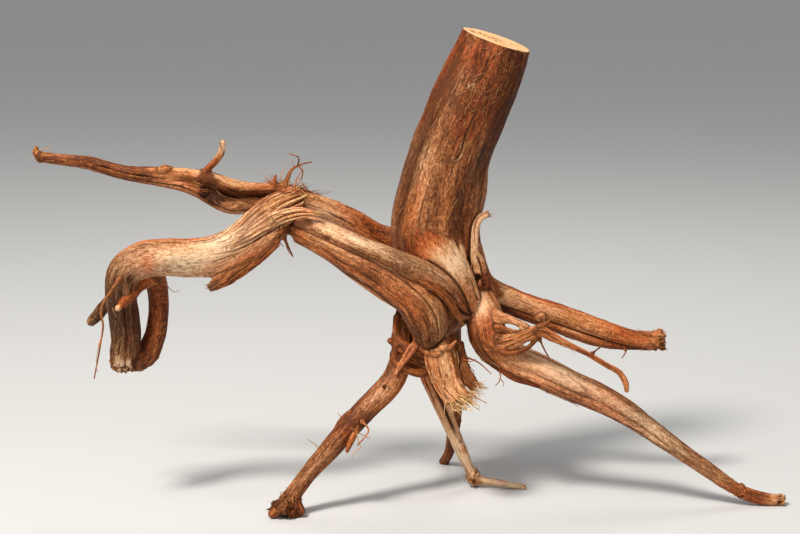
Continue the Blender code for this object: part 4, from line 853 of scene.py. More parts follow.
def course_of(stations, step):
    """Rows about a step apart on one smooth curve through the stations, their shares, and the length."""
    rows = np.array(stations, float)
    chord = np.linalg.norm(np.diff(rows[:, :3], axis=0), axis=1)
    knots = np.concatenate([[0], np.cumsum(chord)])
    slopes = np.gradient(rows, knots, axis=0)
    places = np.linspace(0, knots[-1], max(2, round(knots[-1] / step)) + 1)
    left = np.clip(np.searchsorted(knots, places, side="right") - 1, 0, len(rows) - 2)
    span = (knots[left + 1] - knots[left])[:, None]
    u = (places - knots[left])[:, None] / span
    course = (
        rows[left] * (1 + 2 * u) * (1 - u) ** 2
        + rows[left + 1] * u * u * (3 - 2 * u)
        + slopes[left] * span * u * (1 - u) ** 2
        - slopes[left + 1] * span * u * u * (1 - u)
    )
    return course, places / knots[-1], knots[-1]


def directions_of(course):
    """Unit vectors at each row: along the limb, towards the viewer, and to the left of its course."""
    along = unit(np.gradient(course[:, :3], axis=0))
    viewer = np.array([0.0, -1.0, 0.0])
    front = unit(viewer - along * (along @ viewer)[:, None])
    return along, front, np.cross(front, along)


def groove_strength(groove, angle, share):
    middle, half_width, _, low, high, drift = groove
    off = angle_from(angle, middle + drift * share)
    return np.exp(-((off / half_width) ** 2)) * window(share, low, high)


def relief_of(limb, angle, share):
    """What the radius is multiplied by, at each angle in degrees and share of the length."""
    relief = np.ones(np.broadcast(angle, share).shape)
    for count, depth, phase, turns in limb.flutes:
        relief += depth * np.cos(np.radians(count * (angle - phase - 360 * turns * share)))
    for groove in limb.grooves:
        relief -= groove[2] * groove_strength(groove, angle, share)
    return relief


def closed_tube(points, marks):
    """A closed tube from its rows of points, as a dict. The middles of both ends come after the rows."""
    rows, sides = points.shape[:2]
    corner = np.arange(rows * sides).reshape(rows, sides)
    beside = np.roll(corner, -1, axis=1)
    fans = [np.stack([np.full(sides, middle), *edge], axis=1) for middle, edge in
            ((rows * sides, (corner[0], beside[0])), (rows * sides + 1, (beside[-1], corner[-1])))]

    def with_ends(value):
        return np.concatenate([value.reshape(rows * sides, -1), value[[0, -1]].mean(axis=1).reshape(2, -1)])

    return {
        "points": with_ends(points),
        "quads": np.stack([corner[:-1], corner[1:], beside[1:], beside[:-1]], axis=2).reshape(-1, 4),
        "fans": np.concatenate(fans),
        "marks": {key: with_ends(value) for key, value in marks.items()},
    }


class Field:
    """Measures how far points are outside a limb's plain skin, in millimetres, negative inside it."""

    def __init__(self, limb):
        self.limb = limb
        self.course, self.share, self.length = course_of(limb.stations, FIELD_STEP)
        self.along, self.front, self.left = directions_of(self.course)
        reach = self.course[:, 3:5].max() + FIELD_REACH
        self.low = self.course[:, :3].min(axis=0) - reach
        self.high = self.course[:, :3].max(axis=0) + reach
        self.girth = self.course[:, 3:5].mean()

    def near(self, points):
        return np.all((points > self.low) & (points < self.high), axis=1)

    def outside(self, points):
        centres = self.course[:, :3]
        row = ((centres ** 2).sum(axis=1)[None, :] - 2 * points @ centres.T).argmin(axis=1)
        offset = points - centres[row]
        ways = (self.along, self.left, self.front)
        ahead, across, forward = ((offset * way[row]).sum(axis=1) for way in ways)
        share = self.share[row] + ahead / self.length
        width = np.interp(share, self.share, self.course[:, 3])
        depth = np.interp(share, self.share, self.course[:, 4])
        ratio = np.hypot(across / width, forward / depth) + 1e-6
        angle = np.degrees(np.arctan2(across / width, forward / depth))
        relief = relief_of(self.limb, angle, np.clip(share, 0, 1))
        relief += self.limb.lumps * value_noise(points / LUMP_SPAN, LUMP_SEED)
        radius = (np.hypot(across, forward) + 1e-6) / ratio * relief
        beyond = np.maximum(share - 1, -share) * self.length
        away = (ratio / relief - 1) * radius
        if self.limb.end in ("round", "point"):
            dome = np.hypot(ratio / relief, beyond / (DOME_HEIGHT * radius)) - 1
            past = np.where(share > 1, dome * radius, np.maximum(away, beyond))
        else:
            past = np.hypot(np.maximum(away, 0), beyond)
        return np.where(beyond > 0, past, away)


class Skin:
    """The fine skin of a limb: rows of points from its first station to its last, and what they look like."""

    def __init__(self, limb, look, seed):
        self.limb, self.look, self.seed = limb, look, seed
        course, share, length = course_of(limb.stations, look.along)
        along, front, left = directions_of(course)
        girth = course[:, 3:5].mean(axis=1)
        sides = 4 * max(3, round(2 * math.pi * girth.max() / look.across / 4))
        angle = np.arange(sides) * 360 / sides
        turn = np.radians(angle)[None, :, None]
        spokes = front[:, None] * course[:, None, 4:5] * np.cos(turn)
        spokes = spokes + left[:, None] * course[:, None, 3:4] * np.sin(turn)
        relief = relief_of(limb, angle[None, :], share[:, None])
        relief += limb.lumps * value_noise((course[:, None, :3] + spokes) / LUMP_SPAN, LUMP_SEED)
        spokes = spokes * relief[..., None]
        shape = spokes.shape[:2]
        self.points = course[:, None, :3] + spokes
        self.outward = unit(spokes)
        self.angle = np.broadcast_to(angle[None, :], shape)
        self.share, self.run, self.girth = (
            np.broadcast_to(column[:, None], shape) for column in (share, share * length, girth))
        self.cross = np.stack([(spokes * way[:, None]).sum(axis=2) for way in (left, front)], axis=2)
        self.broken, self.sawn = np.zeros(shape), np.zeros(shape)
        self.close(limb.start, -along[0], first=True)
        self.close(limb.end, along[-1], first=False)

    def close(self, style, ahead, first):
        """Adds the rows that close one end of the limb, by a profile of (share of radius, radii ahead)."""
        edge = 0 if first else -1
        last, middle = self.points[edge], self.points[edge].mean(axis=0)
        spokes = last - middle
        radius = np.linalg.norm(spokes, axis=1).mean()
        profile = np.array({
            "flat": [(1, 0), (0, 0)],
            "sawn": [(1, 0), (0.985, 0.012), (0, 0.012)],
            "round": [(math.cos(a), DOME_HEIGHT * math.sin(a)) for a in np.linspace(0, math.pi / 2, 9)],
            "point": [(1 - t ** 1.4, DOME_HEIGHT * t) for t in np.linspace(0, 1, 7)],
            "torn": [(1, 0), (1.0, 0.2), (0.9, 0.14), (0.55, 0.1), (0, 0.12)],
            "hollow": [(1, 0), (1.08, 0.3), (0.74, 0.25), (0.68, -0.3), (0.55, -0.75), (0, -0.8)],
        }[style])
        path = np.concatenate([[0], np.cumsum(np.linalg.norm(np.diff(profile, axis=0), axis=1))])
        spacing = FLAT_END_SPACING if style == "flat" else END_SPACING
        steps = np.linspace(0, path[-1], max(3, round(path[-1] * radius / spacing)) + 1)[1:]
        scale = np.interp(steps, path, profile[:, 0])[:, None, None]
        forward = np.interp(steps, path, profile[:, 1])[:, None, None] * radius
        points = middle + spokes[None] * scale + ahead * forward
        shape = points.shape[:2]
        broken = np.zeros(shape)
        if style in ("torn", "hollow"):
            depth = TORN_DEPTH * radius * value_noise(last * 0.45, len(self.limb.name) + (0 if first else 1))
            depth = depth[None] * np.interp(scale[..., 0], (0.3, 1), (0.3, 1))
            depth = depth + 0.3 * radius * value_noise(points * 0.55, self.seed + 40)
            depth = depth + 0.16 * radius * value_noise(points * 1.1, self.seed + 41)
            points = points + ahead * depth[..., None] * np.interp(steps, (0, 0.3), (0, 1))[:, None, None]
            broken[:] = smooth_step(0.1, 0.45, steps)[:, None]
        lean = np.clip(scale, 0.05, 1)
        new = {key: np.repeat(getattr(self, key)[edge][None], len(steps), axis=0) for key in
               ("angle", "share", "girth")}
        new["points"] = points
        new["outward"] = unit(unit(spokes)[None] * lean + ahead * (1 - lean))
        new["run"] = self.run[edge][None] + (-1 if first else 1) * np.broadcast_to(forward[..., 0], shape)
        new["cross"] = self.cross[edge][None] * scale
        new["broken"] = broken
        new["sawn"] = np.full(shape, float(style == "sawn"))
        for name, value in new.items():
            old = getattr(self, name)
            setattr(self, name, np.concatenate([value[::-1], old] if first else [old, value]))

    def settle(self, fields):
        """Moves the skin out to where it flows into other limbs, and under them where they cover it."""
        flat, outward, girth = self.points.reshape(-1, 3), self.outward.reshape(-1, 3), self.girth.reshape(-1)
        others = []
        for other in fields.values():
            near = other.near(flat)
            if other.limb is not self.limb and near.any():
                others.append((other, near, fuse_between(self.limb, other.limb)))
        lift = np.zeros(len(flat))
        gap = np.full(len(flat), FAR)
        widest = np.ones(len(flat))
        slimmest = girth.copy()
        for _ in range(SETTLE_ROUNDS):
            places = flat + outward * lift[:, None]
            reach = lift.copy()
            gap[:] = FAR
            for other, near, width in others:
                distance = other.outside(places[near])
                reach[near] = smooth_minimum(reach[near], distance, width)
                closer = distance < gap[near]
                slim = np.minimum(other.girth * 1.6, girth[near])
                for values, value in ((gap, distance), (widest, width), (slimmest, slim)):
                    values[near] = np.where(closer, value, values[near])
            lift = np.clip(lift - reach, 0, widest * LIFT_SHARE)
        covered = lift - gap
        sink = np.clip(covered - COVER_MARGIN, 0, COVER_DEPTH) * COVER_SHARE
        # The crease is a band of painted shade along the seam with the nearest limb.
        edge = np.minimum(1.8 - widest * 0.08, slimmest * CREASE_SHARE)
        crease = np.exp(-((covered / edge) ** 2))
        crease = crease * np.clip(1.15 - widest * 0.09, 0.3, 1) * np.clip(slimmest / 4, 0.5, 1)
        self.crease = crease.reshape(self.share.shape)
        self.points = (flat + outward * (lift - sink)[:, None]).reshape(self.points.shape)

    def roughen(self):
        """Gives the skin its ridges, fibres, cracks, pits and bark, and marks where each of them is and where
        painted shade darkens it.
        """
        look, seed = self.look, self.seed
        grain = np.concatenate([self.run[..., None], self.cross], axis=2) + seed * GRAIN_SHIFT
        sway = [SWAY_WIDTH * value_noise(grain / SWAY_SPAN, seed + k) for k in (1, 2)]
        grain = grain + np.stack([np.zeros_like(sway[0]), *sway], axis=2)

        def streaks(length, width, k):
            return value_noise(grain / np.array([length, width, width]), seed + k)

        def patched(kind, base=0.0):
            total = np.zeros(self.share.shape)
            for share, angle, reach, degrees, strengths in look.patches:
                off = 0 if degrees >= ALL_ROUND else angle_from(self.angle, angle) / degrees
                if kind in strengths:
                    total += strengths[kind] * np.exp(-(((self.share - share) / reach) ** 2) - off ** 2)
            return base + total

        worn = np.clip(patched("worn", look.worn), 0, 1)
        crumb = patched("crumb")
        ridge = np.abs(streaks(75, look.strand_width, 3))
        torn = streaks(26, look.strand_width * 1.4, 4)
        valley = smooth_step(0.11, 0.0, ridge) * smooth_step(-0.2, 0.3, torn) * (1 - 0.7 * worn)
        line = np.abs(streaks(34, look.strand_width * 0.45, 13))
        split = smooth_step(0.07, 0.0, line) * smooth_step(0.1, 0.45, streaks(18, look.strand_width, 14))
        split = split * (1 - 0.8 * worn)
        fibre = np.abs(streaks(24, 1.7, 5))
        hair = streaks(9, 0.9, 6)
        speck = streaks(2.2, 1.5, 15)
        pit = smooth_step(0.45, 0.7, streaks(2.8, 1.15, 7))
        pit = pit * smooth_step(-0.1, 0.4, streaks(14, 5, 8)) * look.pits
        flake = 0.5 * streaks(26, 6, 9) + 0.4 * streaks(11, 2.6, 10) + 0.28 * hair + 0.2 * speck
        bark = smooth_step(-0.02, 0.16, flake + look.bark * 1.6 - 0.8 + patched("bark"))
        height = look.strands * (1 - 0.6 * worn) * (np.minimum(ridge * 2.2, 1) - 0.5) - look.cracks * valley
        height += look.fibres * (2.2 * fibre - 0.7) + 0.07 * hair + 0.06 * speck - 0.35 * pit
        height += bark * (0.22 + 0.3 * np.abs(hair) + 0.25 * fibre) - 0.4 * look.cracks * split
        height = height * (1 - 0.6 * self.broken) * np.clip(self.girth / FULL_RELIEF_GIRTH, 0.2, 1)
        grooves = np.zeros_like(ridge)
        for groove in self.limb.grooves:
            if groove[1] < NARROW_GROOVE or groove[2] > DEEP_GROOVE:
                strength = groove_strength(groove, self.angle, self.share)
                grooves = np.maximum(grooves, strength * min(1, groove[2] * 7))
        cracked, crack_depth = self.long_splits(streaks(16, 4, 16), streaks(7, 2, 17))
        fanned, fan_height, lit = self.fanned(streaks(30, 6, 18))
        hollow, deepest = self.hollows(streaks(9, 2.2, 19) + 0.6 * streaks(3, 1.2, 20))
        height += fan_height - crack_depth - hollow * (1 + 0.25 * hair)
        torn_in = np.clip(hollow / deepest * 2, 0, 1)
        crumbs = value_noise(self.points / 2.6, seed + 42) + 0.6 * value_noise(self.points / 1.2, seed + 43)
        height += crumbs * crumb
        if self.limb.start == "sawn":
            height = height * (self.sawn < 0.5)
        self.points = self.points + self.outward * height[..., None]
        broken = np.maximum(self.broken, 0.75 * torn_in)
        # Painted shade: valleys, splits, pits, creases, grooves, fans, dark patches, torn hollows and gaps
        # between crumbs.
        dirt = np.maximum.reduce([
            0.8 * valley, 0.8 * split, pit, self.crease, 0.8 * grooves, cracked, fanned,
            patched("dark") * smooth_step(-0.7, 0.5, flake + 0.5 * hair),
            0.9 * torn_in * smooth_step(0.55, -0.35, hair + speck * 0.5), np.clip(-crumbs * crumb, 0, 0.8),
        ])
        # The fan ridges' tops are made paler through lit: painted highlight.
        pale = patched("pale", look.pale) + 0.26 * streaks(46, 15, 11) + 0.25 * (ridge - 0.4) + 0.3 * lit
        self.marks = {
            "bark": bark * (1 - broken), "broken": broken, "worn": worn, "grain": grain, "sawn": self.sawn,
            "dirt": np.clip(dirt, 0, 1), "pale": np.clip(pale, 0, 1),
            "red": np.clip(patched("red", look.red) + 0.32 * streaks(30, 11, 12), 0, 1),
            "grey": np.clip(patched("grey", look.grey) + 0.3 * streaks(38, 13, 21), 0, 1),
        }

    def long_splits(self, wander, ragged):
        """Painted shade and depth of the long cracks, which wander a little and open and close along their
        way.
        """
        darkness, depth = np.zeros(self.share.shape), np.zeros(self.share.shape)
        for share, angle, to_share, to_angle, half_width, deep in self.look.splits:
            middle = np.interp(self.share, (share, to_share), (angle, to_angle))
            off = np.radians(angle_from(self.angle, middle)) * self.girth + 1.1 * wander
            wide = half_width * np.clip(0.6 + 1.1 * ragged, 0.06, 1.5)
            open_here = window(self.share, share, to_share, 0.05) * np.exp(-((off / wide) ** 2))
            darkness = np.maximum(darkness, open_here)
            depth = np.maximum(depth, open_here * deep)
        return darkness, depth

    def fanned(self, wander):
        """Painted shade, height and painted highlight of ridges that draw together along the limb, and end
        one by one.
        """
        darkness, height, lit = (np.zeros(self.share.shape) for _ in range(3))
        for to_share, begin, finish, count, deep in self.look.fans:
            ends = np.random.default_rng(self.seed).uniform(0.5, 1.0, count + 2)
            along = np.clip(self.share / to_share, 0, 1) ** 0.8
            low, high = (begin[k] + (finish[k] - begin[k]) * along for k in range(2))
            across = angle_from(self.angle, (low + high) / 2) / (high - low) + 0.5
            inside = window(across, 0, 1, 0.12)
            phase = count * (across + 0.025 * np.sin(9 * across)) + 0.5 * wander
            ridge = np.abs(np.sin(math.pi * phase)) ** 0.5
            last = ends[np.clip(phase.astype(int) + 1, 0, count + 1)] * to_share
            strength = inside * smooth_step(1.0, 0.72, self.share / last) * (1 - 0.4 * along)
            height += deep * strength * (ridge - 0.7)
            darkness = np.maximum(darkness, np.clip(1.75 - 2.2 * ridge, 0, 0.9) * np.sqrt(strength))
            lit = np.maximum(lit, smooth_step(0.6, 0.95, ridge) * strength)
        return darkness, height, lit

    def hollows(self, ragged):
        """Depth in millimetres of the torn hollows, with ragged rims, and the depth of the deepest."""
        depth, deepest = np.zeros(self.share.shape), []
        for share, angle, reach, degrees, strengths in self.look.patches:
            if "hollow" in strengths:
                far = ((self.share - share) / reach) ** 2 + (angle_from(self.angle, angle) / degrees) ** 2
                here = strengths["hollow"] * smooth_step(0.3, 0.62, np.exp(-far) + 0.2 * ragged)
                depth = np.maximum(depth, here)
                deepest.append(strengths["hollow"])
        return depth, max(deepest, default=1)

    def tube(self):
        return closed_tube(self.points, self.marks)


def fuse_between(one, two):
    pair = FUSE_OF_PAIRS.get((one.name, two.name), FUSE_OF_PAIRS.get((two.name, one.name)))
    return pair or min(look_of(one).fuse, look_of(two).fuse)


def look_of(limb):
    return LOOKS.get(limb.name, STRAND_LOOK if limb.name.startswith("strand") else SPLINTER_LOOK)


def join(name, tubes, materials):
    """One mesh object of closed tubes, with what each point looks like as attributes."""
    starts = np.cumsum([0] + [len(tube["points"]) for tube in tubes])
    quads, fans = (np.concatenate([tube[key] + start for tube, start in zip(tubes, starts)]) for key in
                   ("quads", "fans"))
    marks = {key: np.concatenate([tube["marks"][key] for tube in tubes]) for key in tubes[0]["marks"]}
    points = (np.concatenate([tube["points"] for tube in tubes]) - MIDDLE) * MM
    points[:, 2] = np.maximum(points[:, 2], 0)
    corners = np.concatenate([quads.ravel(), fans.ravel()])
    sizes = np.concatenate([np.full(len(quads), 4), np.full(len(fans), 3)])
    mesh = bpy.data.meshes.new(name)
    mesh.vertices.add(len(points))
    mesh.vertices.foreach_set("co", points.astype(np.float32).ravel())
    mesh.loops.add(len(corners))
    mesh.loops.foreach_set("vertex_index", corners.astype(np.int32))
    mesh.polygons.add(len(sizes))
    mesh.polygons.foreach_set("loop_start", np.concatenate([[0], np.cumsum(sizes)[:-1]]).astype(np.int32))
    mesh.polygons.foreach_set("use_smooth", np.ones(len(sizes), bool))
    for material in materials:
        mesh.materials.append(material)
    if "sawn" in marks:
        first_corners = np.concatenate([quads[:, 0], fans[:, 0]])
        mesh.polygons.foreach_set("material_index", marks.pop("sawn")[first_corners, 0].astype(np.int32))
    mesh.update(calc_edges=True)
    for key, value in marks.items():
        wide = value.shape[-1] == 3
        attribute = mesh.attributes.new(key, "FLOAT_VECTOR" if wide else "FLOAT", "POINT")
        attribute.data.foreach_set("vector" if wide else "value", value.astype(np.float32).ravel())
    mesh.validate()
    piece = bpy.data.objects.new(name, mesh)
    bpy.context.scene.collection.objects.link(piece)
    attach(piece, "root")
    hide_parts("dry_root")


def short_limbs(pieces, slimness=1.0):
    """Limbs of the short pieces, with their radius as both half widths."""
    return [
        Limb(name, [(x, y, z, radius * slimness, radius * slimness) for x, y, z, radius in stations])
        for name, stations in pieces.items()
    ]


def point_on(limb, share, angle, sink):
    """A point on the limb's skin at that share of its length and angle, sunk by so many millimetres."""
    course, shares, _ = course_of(limb.stations, COARSE_STEP)
    _, front, left = directions_of(course)
    row = np.array([np.interp(share, shares, column) for column in (*course.T, *front.T, *left.T)])
    if share < 0:
        row[:3] = course[0, :3] + (course[0, :3] - course[1, :3]) / shares[1] * -share
    turn = math.radians(angle)
    spoke = row[5:8] * row[4] * math.cos(turn) + row[8:11] * row[3] * math.sin(turn)
    length = np.linalg.norm(spoke)
    return row[:3] + spoke * (length - sink) / length


def fan_strands(hook):
    """Slim strands over the hook's front: spread out at the crossing, sinking in where they gather."""
    random = np.random.default_rng(FAN_SEED)
    strands = []
    for k in range(STRAND_COUNT):
        across = k / (STRAND_COUNT - 1)
        begin = np.interp(across, (0, 1), STRANDS_BEGIN_AT_ANGLES) + random.uniform(-3, 3)
        finish = np.interp(across, (0, 1), STRANDS_GATHER_AT_ANGLES) + random.uniform(-6, 6)
        reach = STRAND_REACH * random.uniform(0.75, 1.1)
        start = random.uniform(-0.035, 0.02)
        thick = STRAND_RADIUS * random.uniform(0.65, 1.2)
        stations = []
        for along in np.linspace(0, 1, 8):
            swell = thick * min(1, 0.35 + 2.5 * along) * (1 - 0.5 * along)
            sink = swell * (-0.5 + 1.7 * along)
            wave = 4 * math.sin(3 * along + k)
            point = point_on(hook, start + along * reach, begin + (finish - begin) * along + wave, sink)
            stations.append((*point, swell, swell))
        strands.append(Limb(f"strand_{k}", stations, start="point", lumps=0.1))
    return strands


class Rods:
    """Thin tapered rods gathered in one mesh: fibres, hairs and straw."""

    def __init__(self, name, sides):
        self.name, self.sides, self.tubes = name, sides, []

    def add(self, path, radii, tone):
        """One rod along the path, a row of points in millimetres, with its radius at each of them."""
        along = np.gradient(path, axis=0)
        along /= np.linalg.norm(along, axis=1, keepdims=True) + 1e-9
        aside = np.cross(along, SQUARE_TO)
        aside /= np.linalg.norm(aside, axis=1, keepdims=True) + 1e-9
        above = np.cross(aside, along)
        turn = np.arange(self.sides) * 2 * math.pi / self.sides
        ring_way = aside[:, None] * np.cos(turn)[None, :, None] + above[:, None] * np.sin(turn)[None, :, None]
        points = path[:, None] + ring_way * radii[:, None, None]
        run = np.concatenate([[0], np.cumsum(np.linalg.norm(np.diff(path, axis=0), axis=1))])
        shift = ROD_GRAIN_SHIFT * len(self.tubes)
        grain = np.stack(np.broadcast_arrays(run[:, None], turn[None] * 0.6, shift), axis=2)
        tube = closed_tube(points, {"grain": grain, "tone": np.full(points.shape[:2], tone)})
        tube["marks"]["grain"][-2:] = grain[[0, -1], [0, -1]]
        self.tubes.append(tube)

    def piece(self, material):
        join(self.name, self.tubes, [material])


def fray_fibres(rods, skin, fray, random):
    """Fibres that run along the skin and peel off it towards their tips."""
    last = len(skin.share) - 1
    shares, angles = skin.share[:, 0], skin.angle[0]
    shown = np.flatnonzero((skin.broken[:, 0] == 0) & (shares >= fray.shares[0]) & (shares <= fray.shares[1]))
    steps = np.linspace(0, 1, FIBRE_POINTS)
    for _ in range(fray.count):
        row = shown[random.integers(len(shown))]
        angle = random.uniform(*fray.angles) + random.normal() * 6 * steps
        length = random.uniform(*fray.lengths)
        heading = 1 if random.uniform() < PEEL_FORWARD else -1
        rows = np.clip(row + heading * steps * length / skin.look.along, 0, last).astype(int)
        columns = np.round(angle / 360 * len(angles)).astype(int) % len(angles)
        base = skin.points[rows, columns]
        base[1:-1] = (base[:-2] + base[1:-1] + base[2:]) / 3
        outward = skin.outward[rows, columns]
        course = base[-1] - base[0]
        if np.linalg.norm(course) < SHORTEST_FIBRE:
            continue
        aside = np.cross(outward, unit(course))
        radius = fray.radius * random.uniform(0.6, 1.5)
        peel = length * fray.lift * random.uniform(0.2, 1.8) * steps ** random.uniform(1.3, 3)
        swing = length * fray.curl * random.normal() * steps ** 2
        curl = length * fray.curl * random.uniform(0, 0.6) * np.sin(steps * random.uniform(2, 6))
        path = base + outward * (peel + radius * np.where(steps > 0, 0.4, -1.5))[:, None]
        path = path + aside * (swing + curl * steps)[:, None]
        rods.add(path, radius * (1.1 - 0.75 * steps), random.uniform(*fray.tones))


def brush_fibres(rods, limb, brush, random):
    """Fibres that stand out of the broken end."""
    course, _, _ = course_of(limb.stations, BRUSH_STEP)
    along, front, left = directions_of(course)
    edge, sign = (0, -1) if brush.from_start else (-1, 1)
    end, ahead, sweep = course[edge], along[edge] * sign, np.array(brush.sweep)
    steps = np.linspace(0, 1, FIBRE_POINTS)
    for _ in range(brush.count):
        turn, reach = random.uniform(0, 2 * math.pi), math.sqrt(random.uniform(0, 1)) * BRUSH_REACH
        side = left[edge] * math.sin(turn) * end[3] + front[edge] * math.cos(turn) * end[4]
        base = end[:3] + side * reach - ahead * BRUSH_ROOT
        lean = ahead + unit(side) * random.uniform(0, brush.spread) * reach
        lean = lean + sweep * random.uniform(0, 1) + random.normal(size=3) * 0.13
        bend = random.normal(size=3) * 0.22 + sweep * random.uniform(-0.3, 0.6)
        length = random.uniform(*brush.lengths) + BRUSH_ROOT
        path = base + (lean * steps[:, None] + bend * steps[:, None] ** 2.5) * length
        curl = np.sin(steps * random.uniform(2, 9) + random.uniform(0, 6)) * random.uniform(0, 0.22)
        path = path + np.cross(lean, random.normal(size=3))[None] * (curl * steps)[:, None] * length * 0.5
        radius = brush.radius * random.uniform(0.6, 1.4)
        rods.add(path, radius * (1.15 - 0.85 * steps), random.uniform(*brush.tones))


def straw_fibres(rods, stub):
    """The thick straws that broom out of the torn stub, to the right and up."""
    course, _, _ = course_of(stub.stations, COARSE_STEP)
    along, front, left = directions_of(course)
    end, radius = course[-1], course[-1, 3]
    random = np.random.default_rng(STRAW_SEED)
    sweep = np.array(STRAW_SWEEP)
    for k in range(STRAW_COUNT):
        turn = 2 * math.pi * k * GOLDEN_TURN
        side = left[-1] * math.sin(turn) + front[-1] * math.cos(turn)
        base = end[:3] + side * radius * STRAW_REACH * math.sqrt((k + 0.5) / STRAW_COUNT)
        lean = along[-1] + side * random.uniform(0.05, 0.5) + sweep * random.uniform(0, 0.6)
        bend = sweep * random.uniform(-0.2, 0.35)
        length = random.uniform(*STRAW_LENGTHS)
        steps = np.linspace(-0.3, 1, 7)[:, None]
        curl = random.normal(size=3) * 0.16 * np.sin(np.maximum(steps, 0) * random.uniform(3, 7))
        path = base + (lean * steps + bend * np.maximum(steps, 0) ** 2 + curl) * length
        rods.add(path, STRAW_RADIUS * np.linspace(1.2, 0.55, 7), 0.75 + 0.25 * random.uniform())


class Value:
    """Something that varies over the surface. As a number it adds, subtracts and multiplies."""

    def __init__(self, nodes, socket):
        self.nodes, self.socket = nodes, socket

    def __add__(self, other):
        return self.nodes.math("ADD", self, other)

    def __sub__(self, other):
        return self.nodes.math("SUBTRACT", self, other)

    def __rsub__(self, other):
        return self.nodes.math("SUBTRACT", other, self)

    def __mul__(self, other):
        return self.nodes.math("MULTIPLY", self, other)

    def clamped(self):
        self.socket.node.use_clamp = True
        return self


class Nodes:
    """The shader nodes of one material."""

    def __init__(self, name):
        self.material = bpy.data.materials.new(name)
        self.material.use_nodes = True
        self.tree = self.material.node_tree
        self.shader = next(node for node in self.tree.nodes if node.type == "BSDF_PRINCIPLED")

    def link(self, source, socket):
        """Feeds the socket with a Value, or sets it to a number, a vector or a colour."""
        if isinstance(source, Value):
            self.tree.links.new(source.socket, socket)
        elif isinstance(source, tuple):
            socket.default_value = (*source, 1)[:len(socket.default_value)]
        else:
            socket.default_value = source

    def add(self, kind, inputs, output=0, **settings):
        """The output of a new node with these inputs and settings."""
        node = self.tree.nodes.new("ShaderNode" + kind)
        for key, value in settings.items():
            setattr(node, key, value)
        for key, source in inputs.items():
            self.link(source, node.inputs[key])
        return Value(self, node.outputs[output])

    def mark(self, name):
        return self.add("Attribute", {}, "Fac", attribute_name=name)

    def math(self, operation, one, two):
        return self.add("Math", {0: one, 1: two}, operation=operation)

    def vector(self, operation, one, two):
        return self.add("VectorMath", {0: one, 1: two}, operation=operation)

    def noise(self, inputs, detail, scale=1.0):
        return self.add("TexNoise", {**inputs, "Scale": scale, "Detail": detail}, "Fac")

    def grain_noise(self, cells, detail, roughness=0.55, distortion=0.0):
        """Noise stretched along the grain: so many cells to a millimetre, along it and both ways across."""
        grain = self.add("Attribute", {}, "Vector", attribute_name="grain")
        stretched = self.vector("MULTIPLY", grain, cells)
        return self.noise({"Vector": stretched, "Roughness": roughness, "Distortion": distortion}, detail)

    def ramp(self, factor, stops):
        colour = self.add("ValToRGB", {0: factor}, "Color")
        elements = colour.socket.node.color_ramp.elements
        while len(elements) < len(stops):
            elements.new(0.5)
        for element, (position, tone) in zip(elements, stops):
            element.position = position
            element.color = (*tone, 1)
        return colour

    def mix(self, factor, one, two):
        return self.add("Mix", {0: factor, 6: one, 7: two}, 2, data_type="RGBA")

    def finish(self, colour, roughness, height, distance, strength=0.7):
        bump = self.add("Bump", {"Strength": strength, "Distance": distance, "Height": height})
        self.shader.inputs["Specular IOR Level"].default_value = SPECULAR
        for key, source in (("Base Color", colour), ("Roughness", roughness), ("Normal", bump)):
            self.link(source, self.shader.inputs[key])
        return self.material


def wood_material():
    """Dry wood along its grain: pale fibre, grey and red stains, flaking bark, pores and painted shade in
    cracks.
    """
    n = Nodes("dry_wood")
    long_streak = n.grain_noise((0.035, 0.55, 0.55), 5, 0.6, 0.3)
    fine_streak = n.grain_noise((0.11, 2.1, 2.1), 5, 0.62, 0.2)
    speck = n.grain_noise((0.7, 2.2, 2.2), 4, 0.65)
    blotch = n.grain_noise((0.035, 0.10, 0.10), 4, 0.6, 0.6)
    mottle = n.grain_noise((0.30, 0.50, 0.50), 6, 0.72, 0.4)
    pores = n.ramp(n.grain_noise((0.30, 1.7, 1.7), 2, 0.5), PORE_STEPS)
    pale, bark, red, grey = n.mark("pale"), n.mark("bark"), n.mark("red"), n.mark("grey")
    dirt, broken, worn = n.mark("dirt"), n.mark("broken"), n.mark("worn")
    streaks = (long_streak - 0.5) * 1.1 + (fine_streak - 0.5) * 1.3
    tone = streaks * (1.0 - worn * 0.7) + 0.5 + (mottle - 0.5) * (worn * 1.3 + 0.5)
    tone = tone + (blotch - 0.5) * 0.7 + (speck - 0.5) * 1.4 + (pale - 0.5) * 0.95
    colour = n.mix(grey, n.ramp(tone, WOOD_TONES), n.ramp(tone, GREY_TONES))
    colour = n.mix((red * (blotch * 1.6)).clamped(), colour, n.ramp(tone, RED_TONES))
    crust = n.ramp(fine_streak * 0.9 + speck * 0.6 + red * 0.35 - 0.42, BARK_TONES)
    colour = n.mix((bark * (fine_streak * 1.2 + 0.3)).clamped(), colour, crust)
    colour = n.mix(broken, colour, n.ramp((fine_streak + speck) * 1.4 - 1.0, TORN_TONES))
    colour = n.mix(pores * (0.65 - worn * 0.38), colour, PORE)
    # Painted shade: the marked cracks, creases and hollows darken through a warm brown to near black.
    dark = (dirt * (speck * 0.5 + 0.65)).clamped()
    colour = n.mix((dark * 1.5).clamped(), colour, SHADE)
    colour = n.mix(dark * dark, colour, DEEP_SHADE)
    roughness = speck * 0.3 + bark * 0.12 + dark * 0.35 + 0.36
    height = fine_streak * 0.5 + speck * 0.4 + mottle * 0.5 - pores * 0.25
    return n.finish(colour, roughness, height, WOOD_BUMP)


def fibre_material():
    """Loose fibres, each with a tone of its own from dark bark over red to pale straw."""
    n = Nodes("loose_fibre")
    streak = n.grain_noise((0.25, 3.0, 0.2), 3)
    colour = n.ramp(n.mark("tone") + (streak - 0.5) * 0.45, FIBRE_TONES)
    return n.finish(colour, streak * 0.3 + 0.45, streak, FINE_BUMP, 0.5)


